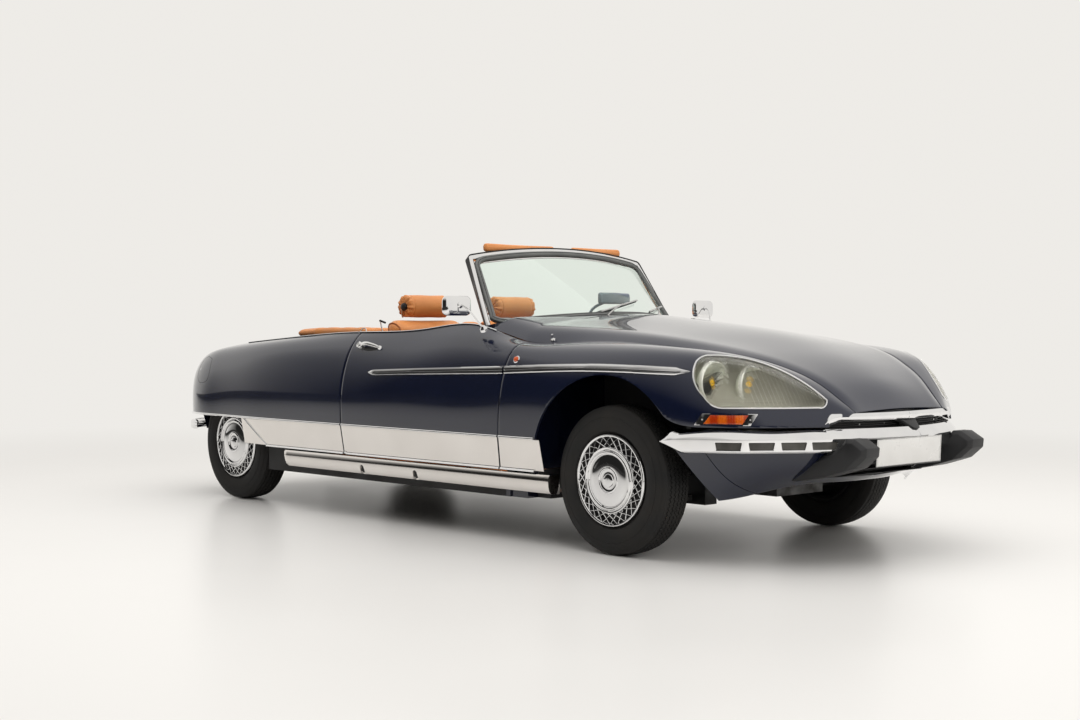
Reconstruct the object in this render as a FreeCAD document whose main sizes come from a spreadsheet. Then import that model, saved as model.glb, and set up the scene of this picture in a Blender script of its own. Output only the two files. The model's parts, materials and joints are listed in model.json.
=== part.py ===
import FreeCAD, Part
import Sketcher
import math
import os
import re

# A front-engined convertible car with two doors, faired rear wheels and glazed twin headlamps.
# +X points forwards, +Y to the left, +Z up. The origin is on the ground under the middle of the car.
# Millimetres throughout. Every driving dimension is a cell of the spreadsheet "Sizes".

Vec = FreeCAD.Vector
os.makedirs("parts", exist_ok=True)
doc = FreeCAD.newDocument("convertible_car")
sheet = doc.addObject("Spreadsheet::Sheet", "Sizes")

SIZES = [
    # name, value, what it is
    ("wheelbase", 3125, "front axle to rear axle"),
    ("front_axle", 1377, "front axle ahead of the origin"),
    ("front_half_track", 758, "middle of a front tyre from the middle plane"),
    ("rear_half_track", 658, "middle of a rear tyre from the middle plane"),
    ("tyre_radius", 330, "axle height, as the car stands"),
    ("tyre_width", 176, "across the side walls"),
    ("rim_radius", 190, "seat of the tyre's bead"),
    ("rim_wall", 10, "thickness of the rim's barrel"),
    ("cover_reach", 82, "rim cover's edge, outboard of the tyre's middle"),
    ("stub_radius", 20, "stub axle"),
    ("bore_gap", 0.3, "running fit of a pin in its bore, on the radius"),
    ("seat_gap", 0.3, "play between a piece and what it sits on"),
    ("hub_inner", 24, "inner face of the hub, outboard of the tyre's middle"),
    ("hub_outer", 62, "bottom of the hub's bore"),
    ("hub_radius", 48, "outside of the hub"),
    ("kingpin_reach", 100, "kingpin shoulder above and below the axle"),
    ("kingpin_radius", 18, "steering post of a knuckle"),
    ("pin_radius", 10, "ball pin at each end of a knuckle"),
    ("body_half_width", 897, "widest line of the side panels"),
    ("widest_height", 620, "height of the widest line"),
    ("belt_height", 955, "height of the crown line at the doors"),
    ("cladding_bottom", 335, "lower edge of the side panels"),
    ("cladding_top", 490, "upper edge of the bright cladding"),
    ("panel_wall", 30, "thickness of wings"),
    ("lid_wall", 25, "thickness of bonnet and boot lid"),
    ("shut_gap", 6, "gap between two panels"),
    ("bonnet_gap", 12, "gap beside the bonnet, where the doors swing in"),
    ("front_seam", 660, "door's front edge behind the front axle"),
    ("rear_seam", 1895, "door's rear edge behind the front axle"),
    ("door_inner", 775, "flat inner face of a door"),
    ("arch_radius", 460, "front wheel arch"),
    ("wing_hem", 585, "lower edge of the front wing ahead of the wheel"),
    ("skirt_hem", 490, "lower edge of the rear wing over the wheel"),
    ("skirt_start", 255, "skirt's slanted edge, ahead of the rear axle at the hem"),
    ("floor_bottom", 200, "underside of the floor"),
    ("floor_wall", 25, "floor plate"),
    ("beam_inner", 240, "inner face of a front beam, from the middle plane"),
    ("beam_width", 80, "front beam"),
    ("sill_bottom", 240, "underside of the bright sills"),
    ("sill_outer", 862, "outside of the bright sills"),
    ("screen_radius", 1050, "windscreen's curve at its foot"),
    ("screen_foot", 700, "foot of the windscreen behind the front axle"),
    ("screen_foot_height", 1050, "foot of the windscreen above ground"),
    ("screen_half_foot", 680, "half width at the foot"),
    ("screen_half_head", 620, "half width at the header"),
    ("screen_head", 1170, "header behind the front axle"),
    ("screen_head_height", 1404, "header above ground"),
    ("frame_depth", 26, "windscreen frame, front to back"),
    ("frame_width", 30, "windscreen frame, in its own plane"),
    ("glass_wall", 6, "glass"),
    ("bumper_bottom", 480, "underside of the front bumper"),
    ("bumper_depth", 45, "front bumper, front to back"),
    ("lid_front", 375, "boot lid's front edge ahead of the rear axle"),
    ("steering_ring", 195, "steering wheel to the middle of its rim"),
    ("sill_top", 330, "top of the sills and side members"),
    ("boot_floor_height", 395, "boot floor"),
    ("valance_bottom", 265, "lower edge of the front valance"),
    ("door_swing", 9, "room inside a door's front corner, which swings inwards first"),
    ("hinge_sweep", 47, "length behind the hinge line that this corner turns past"),
    ("cabin_half_width", 640, "rear seat, dashboard and roof cover, from the middle plane"),
    ("seat_middle", 320, "middle of a front seat and of the steering wheel, from the middle plane"),
    ("seat_half_width", 260, "front seat"),
    ("seat_height", 480, "top of the front cushions"),
    ("seat_back_top", 1048, "top of the front seats' backs"),
    ("seat_front", 635, "front cushion's front edge, ahead of the door's rear seam"),
    ("seat_length", 520, "front cushion"),
    ("rear_seat_height", 500, "top of the rear cushion"),
    ("rear_seat_length", 390, "rear cushion"),
    ("headrest_radius", 64, "headrest roll"),
    ("headrest_half_length", 152, "headrest roll"),
    ("visor_middle", 286, "middle of a sun visor from the middle plane"),
    ("visor_half_width", 190, "sun visor"),
    ("visor_rise", 21, "top of a sun visor above the header"),
    ("visor_height", 50, "sun visor"),
]
for line, (alias, value, note) in enumerate(SIZES, start=1):
    sheet.set("A%d" % line, alias)
    sheet.set("B%d" % line, str(value))
    sheet.set("C%d" % line, note)
    sheet.setAlias("B%d" % line, alias)
doc.recompute()


def size(alias):
    return float(sheet.get(alias))


ALIASES = sorted((row[0] for row in SIZES), key=len, reverse=True)


def bind(thing, prop, text):
    """Bind a property to an expression written with the sheet's names."""
    thing.setExpression(prop, re.sub(r"\b(%s)\b" % "|".join(ALIASES), r"Sizes.\1", text))


def primitive(kind, name, at, turn=None, **sizes):
    """A Part primitive whose sizes and place are expressions."""
    thing = doc.addObject("Part::" + kind, name)
    for prop, text in sizes.items():
        bind(thing, prop, text)
    if turn:
        thing.Placement = FreeCAD.Placement(Vec(), FreeCAD.Rotation(Vec(*turn[:3]), turn[3]))
    for axis, text in zip("xyz", at):
        bind(thing, "Placement.Base." + axis, text)
    return thing


ALONG_Y = (1, 0, 0, -90)   # turns an upright cylinder so that it points along +Y
ALONG_X = (0, 1, 0, 90)    # and along +X


def join(name, things):
    """One Part::MultiFuse of several objects."""
    fuse = doc.addObject("Part::MultiFuse", name)
    fuse.Shapes = things
    fuse.Refine = False
    return fuse


def group(name, things):
    """Several solids that don't touch, as one Part::Compound."""
    bundle = doc.addObject("Part::Compound", name)
    bundle.Links = things
    return bundle


def mirror(name, thing):
    """The left-hand copy of a right-hand object."""
    copy = doc.addObject("Part::Mirroring", name)
    copy.Source = thing
    copy.Normal = (0, 1, 0)
    copy.Base = (0, 0, 0)
    return copy


def pair(name, thing):
    return group(name, [thing, mirror(name + "_other", thing)])


def solid(name, shape):
    """A piece whose shape Part's own functions made."""
    thing = doc.addObject("Part::Feature", name)
    thing.Shape = shape
    return thing


def box(x0, x1, y0, y1, z0, z1):
    return Part.makeBox(x1 - x0, y1 - y0, z1 - z0, Vec(x0, y0, z0))


def prism(points, direction):
    """The closed outline through the points, extruded."""
    return Part.Face(Part.makePolygon(list(points) + [points[0]])).extrude(direction)


# ---------------------------------------------------------------- the body's sections
FRONT = size("front_axle")
REAR = FRONT - size("wheelbase")
HALF = size("body_half_width")
BELT = size("belt_height")
WIDEST = size("widest_height")
GAP = size("shut_gap")

# Each row: the axle it is measured from, how far ahead of it, then how far each of six points lies
# inside the widest line (cladding's foot, cladding's top, widest, shoulder, crown, lid edge),
# then the widest point's and the shoulder's, crown's, lid edge's and middle's heights
# above the widest line and the belt line.
SECTIONS = {
    # name      axle    ahead  foot clad wide shou crown edge | wide shou crown edge mid
    "nose":    (FRONT, 920, 557, 527, 497, 517, 547, 567, -20, -335, -315, -305, -293),
    "lip":     (FRONT, 870, 477, 447, 417, 442, 487, 547, -20, -315, -275, -266, -231),
    "brow":    (FRONT, 780, 337, 297, 267, 307, 397, 507, -20, -275, -203, -196, -166),
    "lamp":    (FRONT, 650, 217, 157, 127, 177, 297, 447, -20, -245, -122, -128, -102),
    "cheek":   (FRONT, 500, 117, 67, 42, 77, 167, 367, -20, -215, -97, -79, -50),
    "guard":   (FRONT, 300, 67, 27, 7, 27, 107, 297, -10, -195, -72, -52, 5),
    "axle":    (FRONT, 0, 47, 12, 0, 12, 87, 247, 0, -185, -60, -26, 53),
    "cowl":    (FRONT, -350, 47, 12, 0, 12, 82, 207, 0, -175, -58, -23, 90),
    "hinge":   (FRONT, -size("front_seam"), 47, 12, 0, 12, 78, 162, 0, -166, -43, -21, 108),
    "pillar":  (FRONT, -950, 47, 12, 1, 17, 87, 152, 0, -160, 0, 55, 70),
    "waist":   (FRONT, -1300, 47, 12, 2, 19, 92, 122, 0, -155, 0, 40, 45),
    "latch":   (FRONT, -size("rear_seam"), 52, 17, 7, 27, 92, 122, 0, -155, -10, 20, 30),
    "quarter": (REAR, 725, 62, 25, 17, 37, 102, 142, 0, -155, -25, -5, 10),
    "arch":    (REAR, 325, 67, 39, 34, 57, 117, 177, 0, -155, -50, -30, -10),
    "deck":    (REAR, -75, 97, 62, 59, 92, 152, 217, 0, -165, -80, -60, -50),
    "haunch":  (REAR, -375, 147, 107, 107, 147, 207, 277, 0, -185, -120, -107, -97),
    "corner":  (REAR, -525, 257, 217, 217, 247, 297, 357, 0, -205, -160, -147, -140),
    "tail":    (REAR, -615, 397, 337, 337, 357, 397, 457, 0, -215, -185, -175, -170),
}
WING_ROWS = ["hinge", "cowl", "axle", "guard", "cheek", "lamp", "brow", "lip", "nose"]
DOOR_ROWS = ["hinge", "pillar", "waist", "latch"]
TAIL_ROWS = ["latch", "quarter", "arch", "deck", "haunch", "corner", "tail"]
FRONT_LEAN = 0.13    # the front seam leans forwards, per unit of height
REAR_LEAN = 0.08
LATCH_SLANT = 0.12   # the door's rear face runs forwards towards the cabin


def outline(row):
    """Six points (half width, height) of a section, and the height at the middle."""
    axle, ahead, *rest = SECTIONS[row]
    widths = [HALF - inset for inset in rest[:6]]
    heights = [size("cladding_bottom"), size("cladding_top"), WIDEST + rest[6]]
    heights += [BELT + rise for rise in rest[7:10]]
    return axle + ahead, list(zip(widths, heights)), BELT + rest[10]


def placed(row, points, shift=0.0, lean=0.0, slant=0.0, side=-1):
    """Points of a section in space, in a plane that may lean and slant."""
    x = outline(row)[0] + shift
    return [Vec(x + lean * (z - WIDEST) + slant * (HALF - w), side * w, z) for w, z in points]


def arc(a, b, c):
    return Part.Arc(a, b, c).toShape()


def line(a, b):
    return Part.makeLine(a, b)


def wing_points(row, wall):
    """The inside of a wing's section, which follows its outside."""
    p = outline(row)[1]
    q = [(w - wall, z) for w, z in p[:4]]
    q.append((p[4][0] - 0.7 * wall, p[4][1] - 0.8 * wall))
    q.append((p[5][0], p[5][1] - wall))
    return p, q


def wing_wire(row, **place):
    p, q = wing_points(row, size("panel_wall"))
    a = placed(row, p, **place)
    b = placed(row, q, **place)
    return Part.Wire([
        line(a[0], a[1]), arc(a[1], a[2], a[3]), arc(a[3], a[4], a[5]), line(a[5], b[5]),
        arc(b[5], b[4], b[3]), arc(b[3], b[2], b[1]), line(b[1], b[0]), line(b[0], a[0])])


def door_wire(row, **place):
    p = outline(row)[1]
    edge, top = p[5]
    inner = size("door_inner")
    q = [(edge, top - 40), (inner, top - 110), (inner, p[0][1])]
    a = placed(row, p, **place)
    b = placed(row, q, **place)
    return Part.Wire([
        line(a[0], a[1]), arc(a[1], a[2], a[3]), arc(a[3], a[4], a[5]), line(a[5], b[0]),
        line(b[0], b[1]), line(b[1], b[2]), line(b[2], a[0])])


def loft(wires):
    return Part.makeLoft(wires, True, False)


def ends(rows, first, last):
    """Places for each section: only the first and last have a seam's shift, lean and slant."""
    places = [dict() for row in rows]
    places[0] = first
    places[-1] = last
    return places


def wing_loft(rows, first, last):
    return loft([wing_wire(row, **at) for row, at in zip(rows, ends(rows, first, last))])


def crown_points(edge, z_edge, z_mid, fullness):
    """Half of a lid's arched section: its edge, its round and its shoulder, then the middle."""
    rise = z_mid - z_edge
    return [(edge, z_edge), (0.93 * edge, z_edge + 0.62 * fullness * rise),
            (0.80 * edge, z_edge + fullness * rise), (0.0, z_mid)]


def crown_edges(x, points):
    right = [Vec(x, -w, z) for w, z in points]
    left = [Vec(x, w, z) for w, z in points]
    return [arc(right[0], right[1], right[2]), arc(right[2], right[3], left[2]),
            arc(left[2], left[1], left[0])], right[0], left[0]


def lid_wire(x, edge, z_edge, z_mid, fullness, wall):
    top, right, left = crown_edges(x, crown_points(edge, z_edge, z_mid, fullness))
    low, low_right, low_left = crown_edges(x, crown_points(edge, z_edge - wall, z_mid - wall, fullness))
    return Part.Wire(top + [line(left, low_left)] + low[::-1] + [line(low_right, right)])


FULLNESS = {"hinge": 0.62, "cowl": 0.58, "axle": 0.52, "guard": 0.48, "cheek": 0.48, "lamp": 0.45,
            "brow": 0.45, "lip": 0.45, "nose": 0.45}


def lid_section(row, wall, gap, drop=0.0):
    x, p, middle = outline(row)
    full = FULLNESS.get(row, 0.40)
    return lid_wire(x, p[5][0] - gap, p[5][1] - drop, middle - drop, full, wall)


# ---------------------------------------------------------------- front wings, doors, rear wings
wing_right = wing_loft(WING_ROWS, dict(shift=GAP / 2, lean=FRONT_LEAN), {})
wheel_hole = Part.makeCylinder(
    size("arch_radius"), 400, Vec(FRONT, -HALF - 50, size("tyre_radius")), Vec(0, 1, 0))
below_hem = box(FRONT, FRONT + 1000, -HALF - 50, 0, 0, size("wing_hem"))

# The headlamp's opening, seen along the lamp's own axis, as (across, height) from its middle.
LAMP_AXIS = Vec(0.77, -0.64, 0).normalize()
LAMP_ACROSS = Vec(0.64, 0.77, 0).normalize()
LAMP_MIDDLE = Vec(FRONT + 650, -630, BELT - 175)


def lamp_point(across, up, ahead=0.0):
    return LAMP_MIDDLE + LAMP_ACROSS * across + Vec(0, 0, up) + LAMP_AXIS * ahead


def lamp_prism(inset):
    """A round left end, a long falling top edge and a flat foot."""
    tip = lamp_point(285 - 1.6 * inset, -98 + inset, -350)
    high = lamp_point(-185, 98 - inset, -350)
    left_top = lamp_point(-247 + inset * 0.7, 74 - inset * 0.7, -350)
    left = lamp_point(-266 + inset, 22, -350)
    left_low = lamp_point(-228 + inset * 0.7, -78 + inset * 0.7, -350)
    foot = lamp_point(-165, -115 + inset, -350)
    foot_tip = lamp_point(240 - inset, -115 + inset, -350)
    crest = lamp_point(90, 42 - inset, -350)
    wire = Part.Wire([arc(left_low, left, left_top), line(left_top, high), arc(high, crest, tip),
                      line(tip, foot_tip), line(foot_tip, foot), line(foot, left_low)])
    return Part.Face(wire).extrude(LAMP_AXIS * 700)


def signal_prism(inset):
    """The slanted front indicator, below the headlamp."""
    low = size("wing_hem") + 4 + inset
    high = low + 34 - 2 * inset
    start = LAMP_MIDDLE + LAMP_AXIS * -350
    at = [(-270 + inset, low), (-55 - inset, low), (-25 - inset, high), (-240 + inset, high)]
    points = [Vec(start.x, start.y, z) + LAMP_ACROSS * across for across, z in at]
    return prism(points, LAMP_AXIS * 700)


bar_room = box(FRONT + 865, FRONT + 1000, -460, 0, 0, size("wing_hem") + 40)
wing_whole = wing_right.cut(wheel_hole).cut(below_hem).cut(bar_room)
front_wing_right = solid("front_fender_right", wing_whole.cut(lamp_prism(0)).cut(signal_prism(0)))
front_wing_left = mirror("front_fender_left", front_wing_right)
glass_right = solid("headlamp_glass_right", wing_whole.common(lamp_prism(size("seat_gap"))))
headlamp_glasses = pair("headlamp_glasses", glass_right)
signal_right = solid("signal_right", wing_whole.common(signal_prism(size("seat_gap"))))
signal_lamps = pair("signal_lamps", signal_right)

door_places = ends(DOOR_ROWS, dict(shift=-GAP / 2, lean=FRONT_LEAN),
                   dict(shift=GAP / 2, lean=REAR_LEAN, slant=LATCH_SLANT))
door_right = solid("door_right", loft([door_wire(row, **at) for row, at in zip(DOOR_ROWS, door_places)]))
door_left = mirror("door_left", door_right)

tail_right = wing_loft(TAIL_ROWS, dict(shift=-GAP / 2, lean=REAR_LEAN), {})
hem = size("skirt_hem")
foot_run = hem - size("cladding_bottom")
skirt_x = REAR + size("skirt_start")
under_skirt = prism([Vec(skirt_x + 1.45 * hem, -HALF - 50, 0), Vec(skirt_x, -HALF - 50, hem),
                     Vec(REAR - 900, -HALF - 50, hem), Vec(REAR - 900, -HALF - 50, 0)], Vec(0, HALF, 0))
rear_wing_right = solid("rear_wing_right", tail_right.cut(under_skirt))
rear_wing_left = mirror("rear_wing_left", rear_wing_right)

# ---------------------------------------------------------------- bonnet and boot lid
lid_wall = size("lid_wall")
side_gap = size("bonnet_gap")
screen_centre = FRONT - size("screen_foot") - size("screen_radius")
BONNET_LIP = 40      # bonnet's rear edge ahead of the glass
bonnet_wires = [lid_wire(FRONT - 935, HALF - 197, BELT + 40, BELT + 148, 0.70, lid_wall),
                lid_wire(FRONT - 800, HALF - 186, BELT + 10, BELT + 129, 0.66, lid_wall)]
bonnet_wires += [lid_section(row, lid_wall, side_gap if row in ("hinge", "cowl") else GAP)
                 for row in WING_ROWS]
screen_hole = Part.makeCylinder(size("screen_radius") + BONNET_LIP, 400,
                                Vec(screen_centre, 0, BELT - 200), Vec(0, 0, 1))
bonnet = solid("bonnet", loft(bonnet_wires).cut(screen_hole))

lid_x = REAR + size("lid_front")


def sided(side, x0, x1, y0, y1, z0, z1):
    """A box on one side of the car, its y given as distances from the middle plane."""
    return box(x0, x1, min(side * y0, side * y1), max(side * y0, side * y1), z0, z1)


def between(row_a, row_b, x):
    """Lid edge's half width and height, and the middle's height, between two sections."""
    xa, pa, ma = outline(row_a)
    xb, pb, mb = outline(row_b)
    share = (x - xa) / (xb - xa)
    mix = [u + (v - u) * share for u, v in zip((*pa[5], ma), (*pb[5], mb))]
    return mix


def deck_wire(x, row_a, row_b, wall, gap, drop=0.0):
    edge, z_edge, z_mid = between(row_a, row_b, x)
    return lid_wire(x, edge - gap, z_edge - drop, z_mid - drop, 0.40, wall)


tail_x = outline("tail")[0]
LID_FOOT = size("skirt_hem") + 12
lid_wires = [deck_wire(lid_x, "quarter", "arch", lid_wall, GAP)]
lid_wires += [lid_section(row, lid_wall, GAP) for row in TAIL_ROWS[2:]]
tail_edge = outline("tail")[1][5]
lid_face = box(tail_x, tail_x + lid_wall, -tail_edge[0] + GAP, tail_edge[0] - GAP,
               LID_FOOT, tail_edge[1] - lid_wall / 2)
boot_lid = solid("boot_lid", loft(lid_wires).fuse(lid_face))

# ---------------------------------------------------------------- inner structure
play = size("seat_gap")
doc.recompute()


def inside_wire(row, under, **place):
    """The room inside the wings and under the lids, as a closed full-width section."""
    p, q = wing_points(row, size("panel_wall") + play)
    x, _, middle = outline(row)
    edge = p[5][0] - 2 * side_gap
    full = FULLNESS.get(row, 0.40)
    crown = crown_points(edge, p[5][1] - under, middle - under, full)
    right = placed(row, q[:4] + [(q[5][0] - 10, q[5][1] - 12)], **place)
    left = placed(row, q[:4] + [(q[5][0] - 10, q[5][1] - 12)], side=1, **place)
    top_right = placed(row, crown, **place)
    top_left = placed(row, crown, side=1, **place)
    return Part.Wire([
        line(left[0], right[0]), line(right[0], right[1]), arc(right[1], right[2], right[3]),
        line(right[3], right[4]), line(right[4], top_right[0]),
        arc(top_right[0], top_right[1], top_right[2]), arc(top_right[2], top_right[3], top_left[2]),
        arc(top_left[2], top_left[1], top_left[0]), line(top_left[0], left[4]),
        line(left[4], left[3]), arc(left[3], left[2], left[1]), line(left[1], left[0])])


lid_under = lid_wall + play
front_room = loft([inside_wire(row, lid_under, **at) for row, at in
                   zip(WING_ROWS, ends(WING_ROWS, dict(lean=FRONT_LEAN), {}))])
rear_room = loft([inside_wire(row, lid_under, **at) for row, at in
                  zip(TAIL_ROWS, ends(TAIL_ROWS, dict(lean=REAR_LEAN), {}))])



def clear_of(shape, cover, shift):
    """The main part of a shape, clear of a cover that lies outside it by the shift."""
    moved = cover.copy()
    moved.translate(shift)
    return max(shape.cut(moved).Solids, key=lambda one: one.Volume)


def between_wings(shape, wing_right, wing_left):
    half_clear = clear_of(shape, wing_right.Shape, Vec(0, play, 0))
    return clear_of(half_clear, wing_left.Shape, Vec(0, -play, 0))


bulk_x = FRONT - size("front_seam") + 60
floor_low = size("floor_bottom")
floor_high = floor_low + size("floor_wall")
bulkhead = front_room.common(box(bulk_x, bulk_x + 25, -HALF, HALF, floor_high + play, 1200))
bulkhead = clear_of(bulkhead, bonnet.Shape, Vec(0, 0, -play))
post_inner = size("door_inner") - play
POST_DEPTH = 140
# A post's face lies on the door only behind its corner's path, where the door swings outwards at once.
hinge_x = FRONT - size("front_seam") - 5
post_split = hinge_x - size("hinge_sweep")
posts = []
for side in (-1, 1):
    posts.append(sided(side, bulk_x - POST_DEPTH, post_split, 700, post_inner, floor_low, BELT - 140))
    posts.append(sided(side, post_split, bulk_x, 700, post_inner - size("door_swing"), floor_low, BELT - 140))
cowl_top = Part.makeCylinder(size("screen_radius") + BONNET_LIP - GAP, 110,
                             Vec(screen_centre, 0, BELT + 15), Vec(0, 0, 1))
cowl_top = cowl_top.common(box(FRONT - 975, FRONT, -690, 690, BELT + 15, 1200))
FOOT_SLOPE = 0.16    # the windscreen's foot falls towards the pillars
HEAD_SLOPE = 1.93    # and so does its header


def foot_height(x):
    return size("screen_foot_height") + FOOT_SLOPE * (x - FRONT + size("screen_foot"))


over_cowl = prism([Vec(x, -HALF, z) for x, z in (
    (FRONT, foot_height(FRONT) - play), (FRONT - 1400, foot_height(FRONT - 1400) - play),
    (FRONT - 1400, 1500), (FRONT, 1500))], Vec(0, 2 * HALF, 0))
cowl_support = box(FRONT - 800, bulk_x + 1, -400, 400, BELT + 15, BELT + 35)
scuttle_shape = bulkhead.fuse(posts + [cowl_top.cut(over_cowl), cowl_support])
scuttle = solid("scuttle", scuttle_shape)

bulk_rear = lid_x - 20
bulk_front = lid_x + 25


rear_bulkhead = rear_room.common(box(bulk_rear, lid_x + GAP, -HALF, HALF, size("floor_bottom"), 1200))
rear_bulkhead = clear_of(rear_bulkhead, boot_lid.Shape, Vec(0, 0, -play))
strip_edge = between("quarter", "arch", lid_x)
strip_web = box(lid_x + GAP, bulk_front, 40 - strip_edge[0], strip_edge[0] - 40,
                size("floor_bottom"), strip_edge[1] - lid_wall / 2)
deck_strip = loft([deck_wire(lid_x + GAP, "quarter", "arch", lid_wall, GAP),
                   deck_wire(lid_x + 150, "quarter", "arch", lid_wall, GAP)])
TAIL_WALL = 20
boot_low = size("boot_floor_height") - 15
tail_plate = rear_room.common(box(tail_x + 45, tail_x + 45 + TAIL_WALL, -HALF, HALF, boot_low, 600))
tail_foot = box(tail_x, tail_x + 46, -480, 480, 420, LID_FOOT - GAP)
rear_structure = solid("rear_structure", rear_bulkhead.fuse([strip_web, deck_strip]))
tail_panel = solid("tail_panel", between_wings(tail_plate, rear_wing_right, rear_wing_left).fuse(tail_foot))

# ---------------------------------------------------------------- windscreen
screen_x = FRONT - size("screen_foot")
head_x = FRONT - size("screen_head")
half_foot = size("screen_half_foot")
half_head = size("screen_half_head")
foot_sag = size("screen_radius") - math.sqrt(size("screen_radius") ** 2 - half_foot ** 2)
HEAD_SAG = 30


def screen_wire(level, trim, front, back):
    """A closed strip across the windscreen at a level from 0, its foot, to 1, its header."""
    def point(x, y):
        low = Vec(screen_x + x * foot_sag, y * (half_foot - trim), 0)
        low.z = foot_height(low.x)
        high = Vec(head_x + x * HEAD_SAG, y * (half_head - trim), 0)
        high.z = size("screen_head_height") + HEAD_SLOPE * (high.x - head_x)
        return low + (high - low) * level
    ends_share = (half_foot - trim) / half_foot
    sag = -ends_share ** 2
    middle, right, left = point(0, 0), point(sag, -1), point(sag, 1)
    push = Vec(middle.x - right.x, 0, middle.z - right.z).normalize()
    a = [right + push * front, middle + push * front, left + push * front]
    b = [right - push * back, middle - push * back, left - push * back]
    return Part.Wire([arc(*a), line(a[2], b[2]), arc(b[2], b[1], b[0]), line(b[0], a[0])])


def screen_slab(low, high, trim, front, back):
    return Part.makeLoft([screen_wire(low, trim, front, back), screen_wire(high, trim, front, back)],
                         True, True)


frame_width = size("frame_width")
half_depth = size("frame_depth") / 2
frame_outer = screen_slab(0.0, 1.0, 0, half_depth, half_depth)
frame_hole = screen_slab(0.07, 0.93, frame_width, 4 * half_depth, 4 * half_depth)
windscreen_frame = solid("windscreen_frame", frame_outer.cut(frame_hole))
glass_wall = size("glass_wall")
windscreen_glass = solid("windscreen_glass", screen_slab(
    0.071, 0.929, frame_width + play, glass_wall / 2, glass_wall / 2))

# ---------------------------------------------------------------- front bumper, grille and valance
# Plan of the front's outer edge, from the wheel arch to the middle: ahead of the axle, half width.
NOSE_PLAN = [(330, 885), (500, 868), (650, 795), (790, 640), (900, 470), (985, 240), (1025, 0)]


def plan_face(points, depth, z, x_shift=0.0):
    """A band in plan that follows the nose, with its own depth inwards."""
    outer = [Vec(FRONT + x + x_shift, -w, z) for x, w in points]
    outer += [Vec(p.x, -p.y, z) for p in reversed(outer[:-1])]
    inner = []
    for p in outer:
        share = min(1.0, max(0.0, (p.x - FRONT - 330) / 650.0))
        toward = Vec(-share, 0, 0) + Vec(0, -math.copysign(1 - share * 0.8, p.y) if p.y else 0, 0)
        inner.append(p + toward * depth)

    def run(path):
        return [arc(path[i], path[i + 1], path[i + 2]) for i in range(0, len(path) - 2, 2)]
    inner.reverse()
    wire = Part.Wire(run(outer) + [line(outer[-1], inner[0])] + run(inner) + [line(inner[-1], outer[0])])
    return wire


def band(points, depth, z0, z1, x_shift=0.0):
    return Part.Face(plan_face(points, depth, z0, x_shift)).extrude(Vec(0, 0, z1 - z0))


bumper_low = size("bumper_bottom")
bumper_high = size("wing_hem") - GAP
front_bumper = solid("front_bumper", band(NOSE_PLAN, size("bumper_depth"), bumper_low, bumper_high))

VALANCE_TOP = [(360, 850), (520, 820), (650, 745), (780, 600), (870, 440), (920, 230), (940, 0)]
VALANCE_FOOT = [(420, 735), (500, 650), (570, 560), (640, 450), (700, 330), (740, 170), (750, 0)]
valance_low = size("valance_bottom")
valance_shape = Part.makeLoft([plan_face(VALANCE_FOOT, 30, valance_low),
                               plan_face(VALANCE_TOP, 30, bumper_low)], True, True)
front_valance = solid("front_valance", valance_shape)

BAR_LOW = bumper_high + 15
BAR_HIGH = BAR_LOW + 30
GRILLE_BAR = [(890, 435), (905, 380), (925, 320), (943, 240), (955, 160), (962, 80), (965, 0)]
grille_bar = solid("grille_bar", band(GRILLE_BAR, 35, BAR_LOW, BAR_HIGH, 5))


def filled(points, depth, z):
    """The region inside a band, closed straight across its two ends."""
    edges = plan_face(points, depth, z).Edges
    count = (len(points) * 2 - 2) // 2
    inner = edges[count + 1:-1]
    chord = line(inner[-1].Vertexes[-1].Point, inner[0].Vertexes[0].Point)
    return Part.Wire(Part.sortEdges(list(inner) + [chord])[0])


GRILLE_PLAN = [(790, 605), (855, 535), (915, 435), (950, 345), (985, 240), (1012, 120), (1025, 0)]
GRILLE_LOW = bumper_low + 20
grille_shape = band(GRILLE_PLAN, 18, GRILLE_LOW, BAR_LOW, -46)
grille = solid("grille", grille_shape.cut(front_bumper.Shape))
valance_room = Part.makeLoft([filled(VALANCE_FOOT, 30 + play, valance_low),
                              filled(VALANCE_TOP, 30 + play, bumper_low)], True, True)
valance_block = Part.makeLoft([filled(VALANCE_FOOT, -play, valance_low),
                               filled(VALANCE_TOP, -play, bumper_low)], True, True)
# An overrider from the side: ahead of the front axle, height.
OVERRIDER = [(640, 352), (720, 350), (860, 378), (1000, 420), (1056, 468), (1060, 505), (1000, 540),
             (958, 540),
             (925, 500), (700, 405)]
OVERRIDER_HALF = 62
bumper_room = front_bumper.Shape.copy()
bumper_room.translate(Vec(play, 0, 0))
rubber = []
for side in (-1, 1):
    middle = side * 400
    block = prism([Vec(FRONT + x, middle - OVERRIDER_HALF, z) for x, z in OVERRIDER],
                  Vec(0, 2 * OVERRIDER_HALF, 0))
    clear = block.cut(valance_block).cut(bumper_room).cut(front_bumper.Shape)
    rubber.append(max(clear.Solids, key=lambda one: one.Volume))
overriders = solid("overriders", Part.makeCompound(rubber))

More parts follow.
